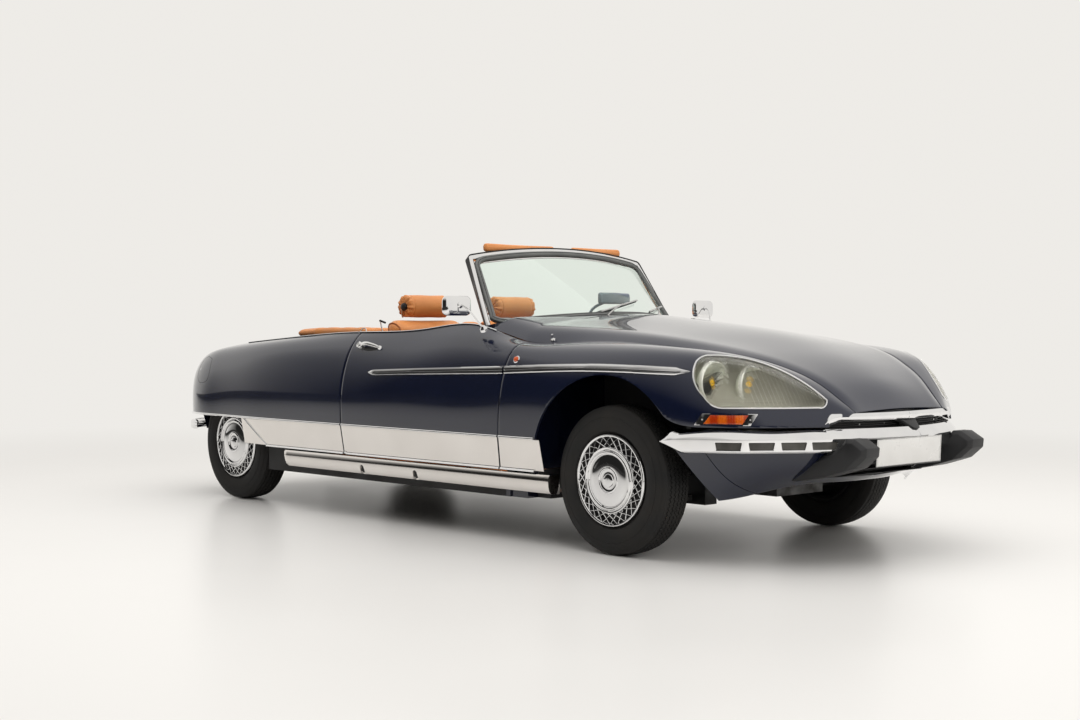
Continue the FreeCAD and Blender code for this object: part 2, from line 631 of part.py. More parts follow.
# ---------------------------------------------------------------- platform
cabin_rear = lid_x + 150
platform_front = bulk_x + 85
beam_in = size("beam_inner")
beam_out = beam_in + size("beam_width")
beam_low = 360
beam_high = 460
parts_of_platform = [box(cabin_rear, platform_front, -700, 700, floor_low, floor_high)]
parts_of_platform.append(box(bulk_front, cabin_rear, -700, 700, floor_low, floor_high))
panel_high = front_room.common(box(FRONT + 440, FRONT + 460, -HALF, HALF, bumper_low + play, 1100))
panel_low = valance_room.common(box(FRONT + 440, FRONT + 460, -HALF, HALF, 300, bumper_low + 1))
front_panel = between_wings(panel_high, front_wing_right, front_wing_left).fuse(panel_low)
parts_of_platform.append(front_panel)
for side in (-1, 1):
    parts_of_platform.append(sided(side, bulk_front, bulk_x - POST_DEPTH, 640, post_inner, floor_low,
                                   size("sill_top")))
    beam = sided(side, bulk_x + 25, FRONT + 1000, beam_in, beam_out, beam_low, beam_high)
    beam_front = beam.common(valance_room.fuse(box(0, FRONT + 500, -HALF, HALF, 0, 1000)))
    parts_of_platform.append(beam_front)
    parts_of_platform.append(sided(side, bulk_x + 25, bulk_x + 85, beam_in, beam_out, floor_low, beam_high))
    parts_of_platform.append(sided(side, FRONT - 100, FRONT + 100, beam_in, beam_out, 190, beam_high))
    parts_of_platform.append(sided(side, tail_x + 45 + TAIL_WALL, bulk_rear, 440, 520, boot_low,
                                   boot_low + 70))
boot_floor = box(tail_x + 45 + TAIL_WALL, bulk_rear, -440, 440, boot_low, size("boot_floor_height"))
parts_of_platform.append(boot_floor)
platform = solid("platform", parts_of_platform[0].fuse(parts_of_platform[1:]))

sill_profile = [(post_inner, size("sill_bottom")), (size("sill_outer") - 25, size("sill_bottom")),
                (size("sill_outer"), size("sill_bottom") + 25), (size("sill_outer"), size("sill_top")),
                (post_inner, size("sill_top"))]
SILL_FRONT = 365
sill_rear_x = REAR + size("lid_front") + 290
sill_right = solid("sill_right", prism([Vec(sill_rear_x, -w, z) for w, z in sill_profile],
                                       Vec(FRONT - SILL_FRONT - sill_rear_x, 0, 0)))
sills = pair("sills", sill_right)

engine_block = primitive("Box", "engine_block",
                         ("front_axle - front_seam + 95", "seat_gap - beam_inner", "floor_bottom + 60"),
                         Length="front_seam - 120", Width="2 * (beam_inner - seat_gap)", Height="480")
gearbox = primitive("Box", "gearbox", ("front_axle - 30", "-170", "tyre_radius - 90"),
                    Length="420", Width="340", Height="180")
engine = join("engine", [engine_block, gearbox])

# ---------------------------------------------------------------- running gear
track = {"front": size("front_half_track"), "rear": size("rear_half_track")}
height = size("tyre_radius")
reach = size("kingpin_reach")
pin = size("pin_radius")
arms = []
for side in (-1, 1):
    for up in (-1, 1):
        face = height + up * (reach + play)
        low, high = sorted((face, face + up * 24))
        eye = Part.makeCylinder(24, high - low, Vec(FRONT, side * track["front"], low))
        y0, y1 = sorted((side * beam_out, side * (track["front"] - 12)))
        arm = eye.fuse(box(FRONT - 22, FRONT + 22, y0, y1, low, high))
        bore = Part.makeCylinder(pin + size("bore_gap"), 60, Vec(FRONT, side * track["front"], low - 10))
        arms.append(arm.cut(bore))
    rod = Part.makeCylinder(14, track["front"] - 30 - beam_out, Vec(FRONT, side * beam_out, height),
                            Vec(0, side, 0))
    arms.append(rod)
    # A rear trailing arm: pivot on the long beam, arm beside the tyre, stub axle outwards.
    pivot = Part.makeCylinder(34, 36, Vec(REAR + 312, side * (520 + play), 415), Vec(0, side, 0))
    plate = prism([Vec(REAR + 320, side * 530, 445), Vec(REAR + 310, side * 530, 382),
                   Vec(REAR - 35, side * 530, height - 35), Vec(REAR - 35, side * 530, height + 35)],
                  Vec(0, side * 28, 0))
    stub = Part.makeCylinder(size("stub_radius"), track["rear"] + size("hub_outer") - 1 - 540,
                             Vec(REAR, side * 540, height), Vec(0, side, 0))
    arms.append(pivot.fuse([plate, stub]))
suspension_arms = solid("suspension_arms", Part.makeCompound(arms))


def knuckle(name, sign):
    """A steering post with its ball pins and the stub axle that the wheel turns on."""
    post = primitive("Cylinder", name + "_post",
                     ("front_axle", "%s front_half_track" % sign, "tyre_radius - kingpin_reach"),
                     Radius="kingpin_radius", Height="2 * kingpin_reach")
    pins = primitive("Cylinder", name + "_pins",
                     ("front_axle", "%s front_half_track" % sign, "tyre_radius - kingpin_reach - 24"),
                     Radius="pin_radius", Height="2 * kingpin_reach + 48")
    turn = (1, 0, 0, 90) if sign == "-" else (1, 0, 0, -90)
    stub = primitive("Cylinder", name + "_stub",
                     ("front_axle", "%s front_half_track" % sign, "tyre_radius"), turn,
                     Radius="stub_radius", Height="hub_outer - 1")
    return join(name, [post, pins, stub])


knuckle_right = knuckle("knuckle_right", "-")
knuckle_left = knuckle("knuckle_left", "")

BEAD = "rim_radius + bore_gap"
TYRE_PROFILE = [
    ("-0.36 * tyre_width", BEAD), ("-0.5 * tyre_width", "rim_radius + 48"),
    ("-0.47 * tyre_width", "tyre_radius - 38"), ("-0.36 * tyre_width", "tyre_radius"),
    ("0.36 * tyre_width", "tyre_radius"), ("0.47 * tyre_width", "tyre_radius - 38"),
    ("0.5 * tyre_width", "rim_radius + 48"), ("0.36 * tyre_width", BEAD)]
FLANGE = "0.41 * tyre_width"
WHEEL_PROFILE = [
    ("hub_inner", "stub_radius + bore_gap"), ("hub_inner", "hub_radius"), ("40", "hub_radius"),
    ("40", "rim_radius - rim_wall"), ("-%s - 4" % FLANGE, "rim_radius - rim_wall"),
    ("-%s - 4" % FLANGE, "rim_radius + 12"), ("-" + FLANGE, "rim_radius + 12"),
    ("-" + FLANGE, "rim_radius"), (FLANGE, "rim_radius"), (FLANGE, "rim_radius + 12"),
    ("cover_reach", "rim_radius + 9"), ("cover_reach - 5", "rim_radius - 26"),
    ("cover_reach - 9", "rim_radius - 42"), ("cover_reach + 3", "rim_radius - 100"),
    ("cover_reach + 12", "rim_radius - 150"), ("cover_reach + 15", "0"), ("hub_outer", "0"),
    ("hub_outer", "stub_radius + bore_gap")]


def turned(name, profile, x_text, y_text, right):
    """A body turned about Y: the profile is (outboard, radius)."""
    body = doc.addObject("PartDesign::Body", name)
    sketch = body.newObject("Sketcher::SketchObject", name + "_profile")
    plane = [f for f in body.Origin.OriginFeatures if f.Role == "YZ_Plane"][0]
    sketch.AttachmentSupport = [(plane, "")]
    sketch.MapMode = "FlatFace"
    values = [[value_of(text) for text in point] for point in profile]
    count = len(profile)
    for i in range(count):
        a, b = values[i], values[(i + 1) % count]
        sketch.addGeometry(Part.LineSegment(Vec(a[0], a[1], 0), Vec(b[0], b[1], 0)), False)
    for i in range(count):
        sketch.addConstraint(Sketcher.Constraint("Coincident", i, 2, (i + 1) % count, 1))
    for i, (across, radius) in enumerate(profile):
        index = sketch.addConstraint(Sketcher.Constraint("DistanceX", -1, 1, i, 1, values[i][0]))
        bind(sketch, "Constraints[%d]" % index, across)
        if radius == "0":
            sketch.addConstraint(Sketcher.Constraint("PointOnObject", i, 1, -1))
        else:
            index = sketch.addConstraint(Sketcher.Constraint("DistanceY", -1, 1, i, 1, values[i][1]))
            bind(sketch, "Constraints[%d]" % index, radius)
    turn = body.newObject("PartDesign::Revolution", name + "_turn")
    turn.Profile = sketch
    turn.ReferenceAxis = (sketch, ["H_Axis"])
    turn.Angle = 360
    if right:
        body.Placement = FreeCAD.Placement(Vec(), FreeCAD.Rotation(Vec(0, 0, 1), 180))
    bind(body, "Placement.Base.x", x_text)
    bind(body, "Placement.Base.y", y_text)
    bind(body, "Placement.Base.z", "tyre_radius")
    return body


def value_of(text):
    """The value of a short expression of the sheet's names."""
    probe = doc.addObject("App::FeaturePython", "Probe")
    probe.addProperty("App::PropertyFloat", "Value")
    bind(probe, "Value", text)
    doc.recompute([probe])
    value = probe.Value
    doc.removeObject(probe.Name)
    return value


wheels = []
for corner, x_text, half_track, right in (
        ("front_right", "front_axle", "front_half_track", True),
        ("front_left", "front_axle", "front_half_track", False),
        ("rear_right", "front_axle - wheelbase", "rear_half_track", True),
        ("rear_left", "front_axle - wheelbase", "rear_half_track", False)):
    y_text = "-" + half_track if right else half_track
    wheels.append(turned("tyre_" + corner, TYRE_PROFILE, x_text, y_text, right))
    wheels.append(turned("wheel_" + corner, WHEEL_PROFILE, x_text, y_text, right))

silencer = primitive("Cylinder", "silencer", ("front_axle - 1500", "330", "floor_bottom - 45.3"), ALONG_X,
                     Radius="45", Height="500")
pipe = primitive("Cylinder", "tail_pipe", ("front_axle - wheelbase - 560", "330", "floor_bottom - 45.3"),
                 ALONG_X, Radius="22", Height="wheelbase - 940")
exhaust = join("exhaust", [silencer, pipe])

# ---------------------------------------------------------------- lamps
bucket = []
for side in (-1, 1):
    for x, y, radius in ((475, 665, 78), (535, 520, 70)):
        lamp = Part.makeCylinder(radius, 60, Vec(FRONT + x, side * y, BELT - 188), Vec(1, 0, 0))
        stalk = Part.makeCylinder(20, x - 460 - play + 5, Vec(FRONT + 460 + play, side * y, BELT - 188),
                                  Vec(1, 0, 0))
        bucket.append(lamp.fuse(stalk).common(front_room))
headlamps = solid("headlamps", Part.makeCompound(bucket))

# ---------------------------------------------------------------- rear bumper
REAR_PLAN = [(-390, 760), (-500, 735), (-590, 640), (-650, 500), (-675, 320), (-686, 160), (-689, 0)]


def rear_band(depth, z0, z1):
    outer = [Vec(REAR + x, -w, z0) for x, w in REAR_PLAN]
    outer += [Vec(p.x, -p.y, z0) for p in reversed(outer[:-1])]
    inner = [p + Vec(depth * min(1, (REAR - 390 - p.x) / 200),
                     -math.copysign(depth * (1 - min(1, (REAR - 390 - p.x) / 260)), p.y) if p.y else 0, 0)
             for p in outer]
    inner.reverse()

    def run(path):
        return [arc(path[i], path[i + 1], path[i + 2]) for i in range(0, len(path) - 2, 2)]
    wire = Part.Wire(run(outer) + [line(outer[-1], inner[0])] + run(inner) + [line(inner[-1], outer[0])])
    return Part.Face(wire).extrude(Vec(0, 0, z1 - z0))


brackets = [box(REAR - 675, tail_x + 45 - play, side * 300 - 20, side * 300 + 20, 400, 418)
            for side in (-1, 1)]
rear_bumper = solid("rear_bumper", rear_band(28, 385, 445).fuse(brackets))

# ---------------------------------------------------------------- cabin
cabin_half = size("cabin_half_width")
seat_y = size("seat_middle")
seat_half = size("seat_half_width")
seat_high = size("seat_height")
back_high = size("seat_back_top")
rest_radius = size("headrest_radius")
rest_half = size("headrest_half_length")
seat_x = FRONT - size("rear_seam") + size("seat_front")
seat_rear_x = seat_x - size("seat_length")


def across(points, y0, y1):
    """An outline of (x, z) points drawn out between two planes of constant y."""
    return prism([Vec(x, y0, z) for x, z in points], Vec(0, y1 - y0, 0))


seats = []
rolls = []
SEAT_BACK = [(120, play), (-10, play), (-170, 500), (-120, 550), (-50, 530)]    # from the cushion's top rear
back_scale = (back_high - seat_high) / 550
for side in (-1, 1):
    y = side * seat_y
    seats.append(box(seat_rear_x, seat_x, y - seat_half, y + seat_half, floor_high + play, seat_high))
    back = [(seat_rear_x + x, seat_high + (rise * back_scale if rise > play else play))
            for x, rise in SEAT_BACK]
    seats.append(across(back, y - seat_half, y + seat_half))
    rolls.append(Part.makeCylinder(rest_radius, 2 * rest_half,
                                   Vec(seat_rear_x - 120, y - rest_half, back_high + rest_radius + play),
                                   Vec(0, 1, 0)))
front_seats = solid("front_seats", Part.makeCompound(seats))
headrests = solid("headrests", Part.makeCompound(rolls))
rear_seat_x = lid_x + 300
rear_high = size("rear_seat_height")
rear_cushion = box(rear_seat_x, rear_seat_x + size("rear_seat_length"), -cabin_half, cabin_half,
                   floor_high + play, rear_high)
rear_back = across([(rear_seat_x + 100, rear_high + play), (rear_seat_x - 2, rear_high + play),
                    (rear_seat_x - 150, BELT - 75), (rear_seat_x - 30, BELT - 55)], -cabin_half, cabin_half)
rear_seat = solid("rear_seat", Part.makeCompound([rear_cushion, rear_back]))
cover_front = rear_seat_x + 100
roof_cover = solid("roof_cover", across([
    (lid_x + 150 + play, BELT - 20), (cover_front, BELT - 25), (cover_front + 20, BELT + 30),
    (lid_x + 180, BELT + 35)], -cabin_half, cabin_half))
DASH_OUTLINE = [(-play, -10), (-160, -5), (-330, -10), (-400, -40), (-395, -125), (-300, -165), (-200, -125),
                (-play, -105)]    # (behind the bulkhead, above the belt line)
dash_shape = across([(bulk_x + x, BELT + rise) for x, rise in DASH_OUTLINE], -cabin_half, cabin_half)
visors = []
for side in (-1, 1):
    visor_y = side * size("visor_middle")
    visor_top = size("screen_head_height") + size("visor_rise")
    visor = box(head_x - 43, head_x, visor_y - size("visor_half_width"), visor_y + size("visor_half_width"),
                visor_top - size("visor_height"), visor_top)
    visor_room = windscreen_frame.Shape.copy()
    visor_room.translate(Vec(-play, 0, 0))
    visors.append(visor.cut(visor_room).common(box(head_x - 100, head_x - 13, -HALF, HALF, 0, 2000)))
sun_visors = solid("sun_visors", Part.makeCompound(visors))

COLUMN_RISE = 22     # degrees above the horizontal
ring_at = Vec(bulk_x - 615, seat_y, BELT - 55)
column_axis = Vec(-math.cos(math.radians(COLUMN_RISE)), 0, math.sin(math.radians(COLUMN_RISE)))
column_turn = FreeCAD.Rotation(Vec(0, 0, 1), column_axis)
ring = Part.makeTorus(size("steering_ring"), 12)
spoke = Part.makeCylinder(9, size("steering_ring"), Vec(0, 0, -1), Vec(0.3, -1, 0))
shaft = Part.makeCylinder(22, 80, Vec(0, 0, -70), Vec(0, 0, 1))
steering = ring.fuse([spoke, shaft])
steering.Placement = FreeCAD.Placement(ring_at, column_turn)
steering_wheel = solid("steering_wheel", steering)
column = Part.makeCylinder(28, 260, Vec(0, 0, -70 - play - 260), Vec(0, 0, 1))
column.Placement = FreeCAD.Placement(ring_at, column_turn)
dashboard = solid("dashboard", dash_shape.fuse(column))

# ---------------------------------------------------------------- door fittings
HANDLE_HEIGHT = BELT - 55
handle = box(FRONT - 1830, FRONT - 1640, -HALF + 8, -HALF + 60, HANDLE_HEIGHT - 12, HANDLE_HEIGHT + 12)
handle = handle.cut(door_right.Shape)
arm_base = Vec(FRONT - 830, -HALF + 90, BELT + 10)
arm_end = Vec(FRONT - 930, -HALF - 23, BELT + 153)
mirror_head = Part.makeCylinder(60, 30, arm_end - Vec(15, 0, 0), Vec(1, 0, 0))
foot = Part.makeCylinder(20, 60, arm_base - Vec(0, 0, 50), Vec(0, 0, 1)).cut(door_right.Shape)
mirror_arm = Part.makeCylinder(8, (arm_end - arm_base).Length, arm_base, arm_end - arm_base)
door_mirror = foot.fuse([mirror_arm, mirror_head])
door_fittings_right = solid("door_fittings_right", Part.makeCompound([handle, door_mirror]))
door_fittings_left = mirror("door_fittings_left", door_fittings_right)

doc.recompute()
NODES = [
    platform, scuttle, rear_structure, tail_panel, front_wing_right, front_wing_left, rear_wing_right,
    rear_wing_left, sills, front_bumper, front_valance, overriders, grille, grille_bar, rear_bumper,
    headlamps, headlamp_glasses, signal_lamps, windscreen_frame, windscreen_glass, sun_visors,
    dashboard, front_seats, headrests, rear_seat, roof_cover, engine, suspension_arms, exhaust,
    door_right, door_left, door_fittings_right, door_fittings_left, bonnet, boot_lid, steering_wheel,
    knuckle_right, knuckle_left] + wheels
faults = [thing.Name for thing in doc.Objects if {"Invalid", "Error"} & set(thing.State)]
for node in NODES:
    shape = node.Shape
    if shape.isNull() or not shape.isValid() or not shape.Solids:
        faults.append(node.Label)
if faults:
    raise RuntimeError("failed: " + ", ".join(faults))
for node in NODES:
    node.Shape.exportStep(os.path.join("parts", node.Label + ".step"))
    print(node.Label, len(node.Shape.Solids), round(node.Shape.Volume / 1e6, 2),
          [round(v) for v in (node.Shape.BoundBox.XMin, node.Shape.BoundBox.XMax, node.Shape.BoundBox.YMin,
                              node.Shape.BoundBox.YMax, node.Shape.BoundBox.ZMin, node.Shape.BoundBox.ZMax)])
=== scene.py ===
import json
import math

import bmesh
import bpy
import numpy as np
from mathutils import Matrix, Vector
from mathutils.bvhtree import BVHTree

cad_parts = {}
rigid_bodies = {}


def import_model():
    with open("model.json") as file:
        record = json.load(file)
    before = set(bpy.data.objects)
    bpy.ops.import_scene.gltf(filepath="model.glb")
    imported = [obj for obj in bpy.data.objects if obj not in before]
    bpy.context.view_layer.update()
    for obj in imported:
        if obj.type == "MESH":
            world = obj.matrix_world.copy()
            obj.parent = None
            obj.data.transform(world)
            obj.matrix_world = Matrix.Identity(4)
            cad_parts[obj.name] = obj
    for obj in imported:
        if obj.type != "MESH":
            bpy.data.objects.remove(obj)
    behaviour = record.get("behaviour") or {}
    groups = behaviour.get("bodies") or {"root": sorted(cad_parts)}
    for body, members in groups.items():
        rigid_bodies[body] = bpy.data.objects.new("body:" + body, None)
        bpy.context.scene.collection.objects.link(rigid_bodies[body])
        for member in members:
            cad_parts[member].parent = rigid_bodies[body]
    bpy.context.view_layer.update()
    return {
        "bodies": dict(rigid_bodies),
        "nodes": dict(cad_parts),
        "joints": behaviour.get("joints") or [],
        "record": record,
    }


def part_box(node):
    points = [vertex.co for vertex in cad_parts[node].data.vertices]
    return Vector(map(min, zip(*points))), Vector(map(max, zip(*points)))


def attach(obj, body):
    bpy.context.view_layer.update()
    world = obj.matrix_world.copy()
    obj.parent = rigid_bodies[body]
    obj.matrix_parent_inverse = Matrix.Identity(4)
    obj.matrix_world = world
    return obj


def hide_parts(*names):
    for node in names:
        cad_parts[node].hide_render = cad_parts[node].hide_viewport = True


# A convertible car, dressed around its CAD frame. Metres; +X forwards, +Y left, +Z up.
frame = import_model()

FRONT = 1.377            # front axle
REAR = FRONT - 3.125     # rear axle
HALF = 0.897             # widest line of the sides
BELT = 0.955             # crown line at the doors
WIDEST = 0.62           # height of the widest line
AXLE = 0.33             # wheel centres above ground
GAP = 0.006              # between panels
FRONT_TRACK = 0.758
REAR_TRACK = 0.658

# ---------------------------------------------------------------- the body's surface
# Rows from tail to nose: place, then half widths at the cladding's foot and top, the widest line,
# shoulder, crown and lid edge, then heights of the last four and of the middle.
BODY_ROWS = [
    # place, six insets from the widest line (mm), then rises: one from the widest, four from the belt (mm)
    (REAR - 0.615, (397, 337, 337, 357, 397, 457), (0, -215, -185, -175, -170)),
    (REAR - 0.525, (257, 217, 217, 247, 297, 357), (0, -205, -160, -147, -140)),
    (REAR - 0.375, (147, 107, 107, 147, 207, 277), (0, -185, -120, -107, -97)),
    (REAR - 0.075, (97, 62, 59, 92, 152, 217), (0, -165, -80, -60, -50)),
    (REAR + 0.325, (67, 39, 34, 57, 117, 177), (0, -155, -50, -30, -10)),
    (REAR + 0.725, (62, 25, 17, 37, 102, 142), (0, -155, -25, -5, 10)),
    (FRONT - 1.895, (52, 17, 7, 27, 92, 122), (0, -155, -10, 20, 30)),
    (FRONT - 1.3, (47, 12, 2, 19, 92, 122), (0, -155, 0, 40, 45)),
    (FRONT - 0.95, (47, 12, 1, 17, 87, 152), (0, -160, 0, 55, 70)),
    (FRONT - 0.66, (47, 12, 0, 12, 78, 162), (0, -166, -43, -21, 108)),
    (FRONT - 0.35, (47, 12, 0, 12, 82, 207), (0, -175, -58, -23, 90)),
    (FRONT + 0.0, (47, 12, 0, 12, 87, 247), (0, -185, -60, -26, 53)),
    (FRONT + 0.3, (67, 27, 7, 27, 107, 297), (-10, -195, -72, -52, 5)),
    (FRONT + 0.5, (117, 67, 42, 77, 167, 367), (-20, -215, -97, -79, -50)),
    (FRONT + 0.65, (217, 157, 127, 177, 297, 447), (-20, -245, -122, -128, -102)),
    (FRONT + 0.78, (337, 297, 267, 307, 397, 507), (-20, -275, -203, -196, -166)),
    (FRONT + 0.87, (477, 447, 417, 442, 487, 547), (-20, -315, -276, -270, -237)),
    (FRONT + 0.92, (557, 527, 497, 517, 547, 567), (-20, -335, -318, -313, -305)),
]
FOOT_HEIGHT = 0.335
CLAD_HEIGHT = 0.49


def bends(t, values):
    """Second derivatives of the smooth curve through values at t (arrays, last axis is the points)."""
    n = t.shape[-1]
    h = np.diff(t)
    slope = np.diff(values) / h
    matrix = np.zeros(t.shape[:-1] + (n, n))
    right = np.zeros(t.shape)
    matrix[..., 0, 0] = matrix[..., -1, -1] = 1
    for i in range(1, n - 1):
        matrix[..., i, i - 1] = h[..., i - 1]
        matrix[..., i, i] = 2 * (h[..., i - 1] + h[..., i])
        matrix[..., i, i + 1] = h[..., i]
        right[..., i] = 6 * (slope[..., i] - slope[..., i - 1])
    return np.linalg.solve(matrix, right[..., None])[..., 0]


def along(t, values, at, second=None):
    """The smooth curve through values at t, read at at. Rows of t go with rows of at."""
    second = bends(t, values) if second is None else second
    if t.ndim == 1:
        i = np.clip(np.searchsorted(t, at) - 1, 0, len(t) - 2)
        pick = lambda a, k: a[k]
    else:
        i = np.clip((t[:, 1:-1] < at[:, None]).sum(1), 0, t.shape[1] - 2)
        rows = np.arange(len(at))
        pick = lambda a, k: a[rows, k]
    t0, t1 = pick(t, i), pick(t, i + 1)
    h = t1 - t0
    a, b = (t1 - at) / h, (at - t0) / h
    return (a * pick(values, i) + b * pick(values, i + 1) + ((a ** 3 - a) * pick(second, i) + (b ** 3 - b)
        * pick(second, i + 1)) * h * h / 6)


ROW_X = np.array([row[0] for row in BODY_ROWS])
ROW_VALUES = np.array([[HALF - inset / 1000 for inset in row[1]] + [WIDEST + row[2][0] / 1000]
    + [BELT + rise / 1000 for rise in row[2][1:]] for row in BODY_ROWS]).T
ROW_BENDS = [bends(ROW_X, column) for column in ROW_VALUES]


def measures(x):
    """The eleven measures of the body's section at each x."""
    x = np.clip(x, ROW_X[0], ROW_X[-1])
    return np.array([along(ROW_X, column, x, second) for column, second in zip(ROW_VALUES, ROW_BENDS)])


def side_point(x, share):
    """Half width and height on the side at x; share runs from the cladding's top, 0, to the lid's edge, 1."""
    m = measures(x)
    wide = m[1:6].T
    high = np.stack([np.full_like(x, CLAD_HEIGHT), m[6], m[7], m[8], m[9]], 1)
    chord = np.hypot(np.diff(wide), np.diff(high))
    t = np.concatenate([np.zeros((len(x), 1)), np.cumsum(chord, 1)], 1)
    t /= t[:, -1:]
    return along(t, wide, share), along(t, high, share)


CLAD_SHARE = 0.24        # of a skin's rows, those that lie on the cladding


def skin_point(x, share):
    """As side_point, with the cladding's own height from 0 to CLAD_SHARE."""
    low = np.clip(share / CLAD_SHARE, 0, 1)
    high = np.clip((share - CLAD_SHARE) / (1 - CLAD_SHARE), 0, 1)
    w, z = side_point(x, high)
    m = measures(x)
    on_clad = share < CLAD_SHARE
    return (np.where(on_clad, m[0] + (m[1] - m[0]) * low, w),
        np.where(on_clad, FOOT_HEIGHT + (CLAD_HEIGHT - FOOT_HEIGHT) * low, z))


# ---------------------------------------------------------------- making pieces
def mm(*pairs):
    """Pairs of millimetres, in metres."""
    return [(a / 1000, b / 1000) for a, b in pairs]


def keep(bm, name):
    """The bmesh as an object of the scene."""
    mesh = bpy.data.meshes.new(name)
    bm.to_mesh(mesh)
    bm.free()
    obj = bpy.data.objects.new(name, mesh)
    bpy.context.scene.collection.objects.link(obj)
    return obj


def laid(name, across, up, place):
    """A grid of faces laid on a surface; place turns arrays u and v, from 0 to 1, into points."""
    bm = bmesh.new()
    bmesh.ops.create_grid(bm, x_segments=across, y_segments=up, size=0.5)
    flat = np.array([vert.co[:2] for vert in bm.verts]) + 0.5
    for vert, co in zip(bm.verts, np.array(place(flat[:, 0], flat[:, 1])).T):
        vert.co = co
    return keep(bm, name)


def finished(obj, smooth=35):
    """Apply the object's modifiers, then shade it smooth with edges sharper than an angle kept."""
    bpy.context.view_layer.update()
    graph = bpy.context.evaluated_depsgraph_get()
    mesh = bpy.data.meshes.new_from_object(obj.evaluated_get(graph))
    obj.modifiers.clear()
    obj.data = mesh
    shade(obj, smooth)
    return obj


def shade(obj, angle=35):
    obj.data.shade_smooth()
    obj.data.set_sharp_from_angle(angle=math.radians(angle))
    return obj


def thick(obj, wall, offset=-1):
    modifier = obj.modifiers.new("wall", "SOLIDIFY")
    modifier.thickness = wall
    modifier.offset = offset
    modifier.use_even_offset = True
    return obj


def cut(obj, cutter, how="DIFFERENCE"):
    modifier = obj.modifiers.new("cut", "BOOLEAN")
    modifier.operation = how
    modifier.solver = "EXACT"
    modifier.object = cutter
    return obj


def rounded(obj, width=0.002, segments=2, angle=50):
    modifier = obj.modifiers.new("round", "BEVEL")
    modifier.width = width
    modifier.segments = segments
    modifier.limit_method = "ANGLE"
    modifier.angle_limit = math.radians(angle)
    modifier.harden_normals = False
    return obj


def drop(*objs):
    for obj in objs:
        bpy.data.objects.remove(obj)


def bridged(bm, rings, fill=(0, -1)):
    """Bridge rings of vertices, and fill the first and last; with nothing to fill they make a loop."""
    loops = [[bm.edges.new((ring[k], ring[(k + 1) % len(ring)])) for k in range(len(ring))] for ring in rings]
    for a, b in zip(loops, loops[1:] + ([] if fill else loops[:1])):
        bmesh.ops.bridge_loops(bm, edges=a + b)
    for k in fill:
        bmesh.ops.edgeloop_fill(bm, edges=loops[k])
    bmesh.ops.recalc_face_normals(bm, faces=bm.faces)


def outward(obj, towards):
    """Turn the faces so that they look towards a direction."""
    bm = bmesh.new()
    bm.from_mesh(obj.data)
    total = sum((face.normal * face.calc_area() for face in bm.faces), Vector())
    if total.dot(Vector(towards)) < 0:
        bmesh.ops.reverse_faces(bm, faces=bm.faces)
    bm.to_mesh(obj.data)
    bm.free()
    return obj


def prism(name, points, direction):
    """A solid with the closed outline through points, drawn out along a direction."""
    bm = bmesh.new()
    ring = [bm.verts.new(p) for p in points]
    face = bm.faces.new(ring)
    side = bmesh.ops.extrude_face_region(bm, geom=[face])
    moved = [v for v in side["geom"] if isinstance(v, bmesh.types.BMVert)]
    bmesh.ops.translate(bm, verts=moved, vec=Vector(direction))
    bmesh.ops.recalc_face_normals(bm, faces=bm.faces)
    return keep(bm, name)


def block(name, low, high):
    bm = bmesh.new()
    bmesh.ops.create_cube(bm, size=1)
    size = Vector(high) - Vector(low)
    bmesh.ops.scale(bm, vec=size, verts=bm.verts)
    bmesh.ops.translate(bm, vec=Vector(low) + size / 2, verts=bm.verts)
    return keep(bm, name)


def soft_block(name, low, high, edge=0.002, segments=2, angle=50):
    """A block with rounded edges."""
    return finished(rounded(block(name, low, high), edge, segments, angle))


def arc(a, b, c, count):
    """Points along the circle through three points, without the last."""
    a, b, c = Vector(a), Vector(b), Vector(c)
    ab, ac = b - a, c - a
    normal = ab.cross(ac)
    centre = a + (normal.cross(ab) * ac.length_squared + ac.cross(normal) * ab.length_squared) / (2
        * normal.length_squared)
    start = a - centre
    whole = start.angle(c - centre)
    if normal.dot(start.cross(c - centre)) < 0:
        whole = 2 * math.pi - whole
    return [centre + Matrix.Rotation(whole * i / count, 3, normal) @ start for i in range(count)]


def straight(a, b, count):
    return [Vector(a).lerp(Vector(b), i / count) for i in range(count)]


def mirrored(obj, name):
    """The left-hand copy of a right-hand piece."""
    bm = bmesh.new()
    bm.from_mesh(obj.data)
    bmesh.ops.scale(bm, vec=(1, -1, 1), verts=bm.verts)
    bmesh.ops.reverse_faces(bm, faces=bm.faces)
    copy = keep(bm, name)
    for material in obj.data.materials:
        copy.data.materials.append(material)
    return shade(copy)


for slot, finishes in (("paint", "navy_paint blank_plate"),
        ("chrome", "chrome_plate satin_chrome mirror_glass"), ("stainless", "bright_stainless"),
        ("black_rubber", "moulded_rubber grey_seal"), ("black_plastic",
        "grained_plastic inner_black dark_trim_cloth slot_grey mirror_back_grey dial_white"),
        ("tan_leather", "tan_leather tan_leather_piping brown_carpet"), ("tyre_rubber", "tyre_rubber"),
        ("amber_lens", "amber_lens red_lens yellow_bulb ribbed_amber"),
        ("clear_glass", "screen_glass headlamp_glass"), ("lamp_metal",
        "lamp_line lamp_housing lamp_bowl lamp_ring")):
    dict.fromkeys(finishes.split(), slot)


def dress(obj, finish, body="chassis", nodes=()):
    """Give a piece its finish, the body it rides on and the nodes it replaces."""
    obj.data.materials.clear()
    obj.data.materials.append(finish)
    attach(obj, body)
    if nodes:
        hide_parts(*nodes)
    return obj


def both(obj, finish, body="chassis", nodes=()):
    """Dress a right-hand piece, and its mirrored copy on the left. A name ends in _right."""
    other = mirrored(obj, obj.name.replace("_right", "_left"))
    for piece, side in ((obj, "right"), (other, "left")):
        dress(piece, finish, body.replace("SIDE", side), [n.replace("SIDE", side) for n in nodes])
    return obj, other


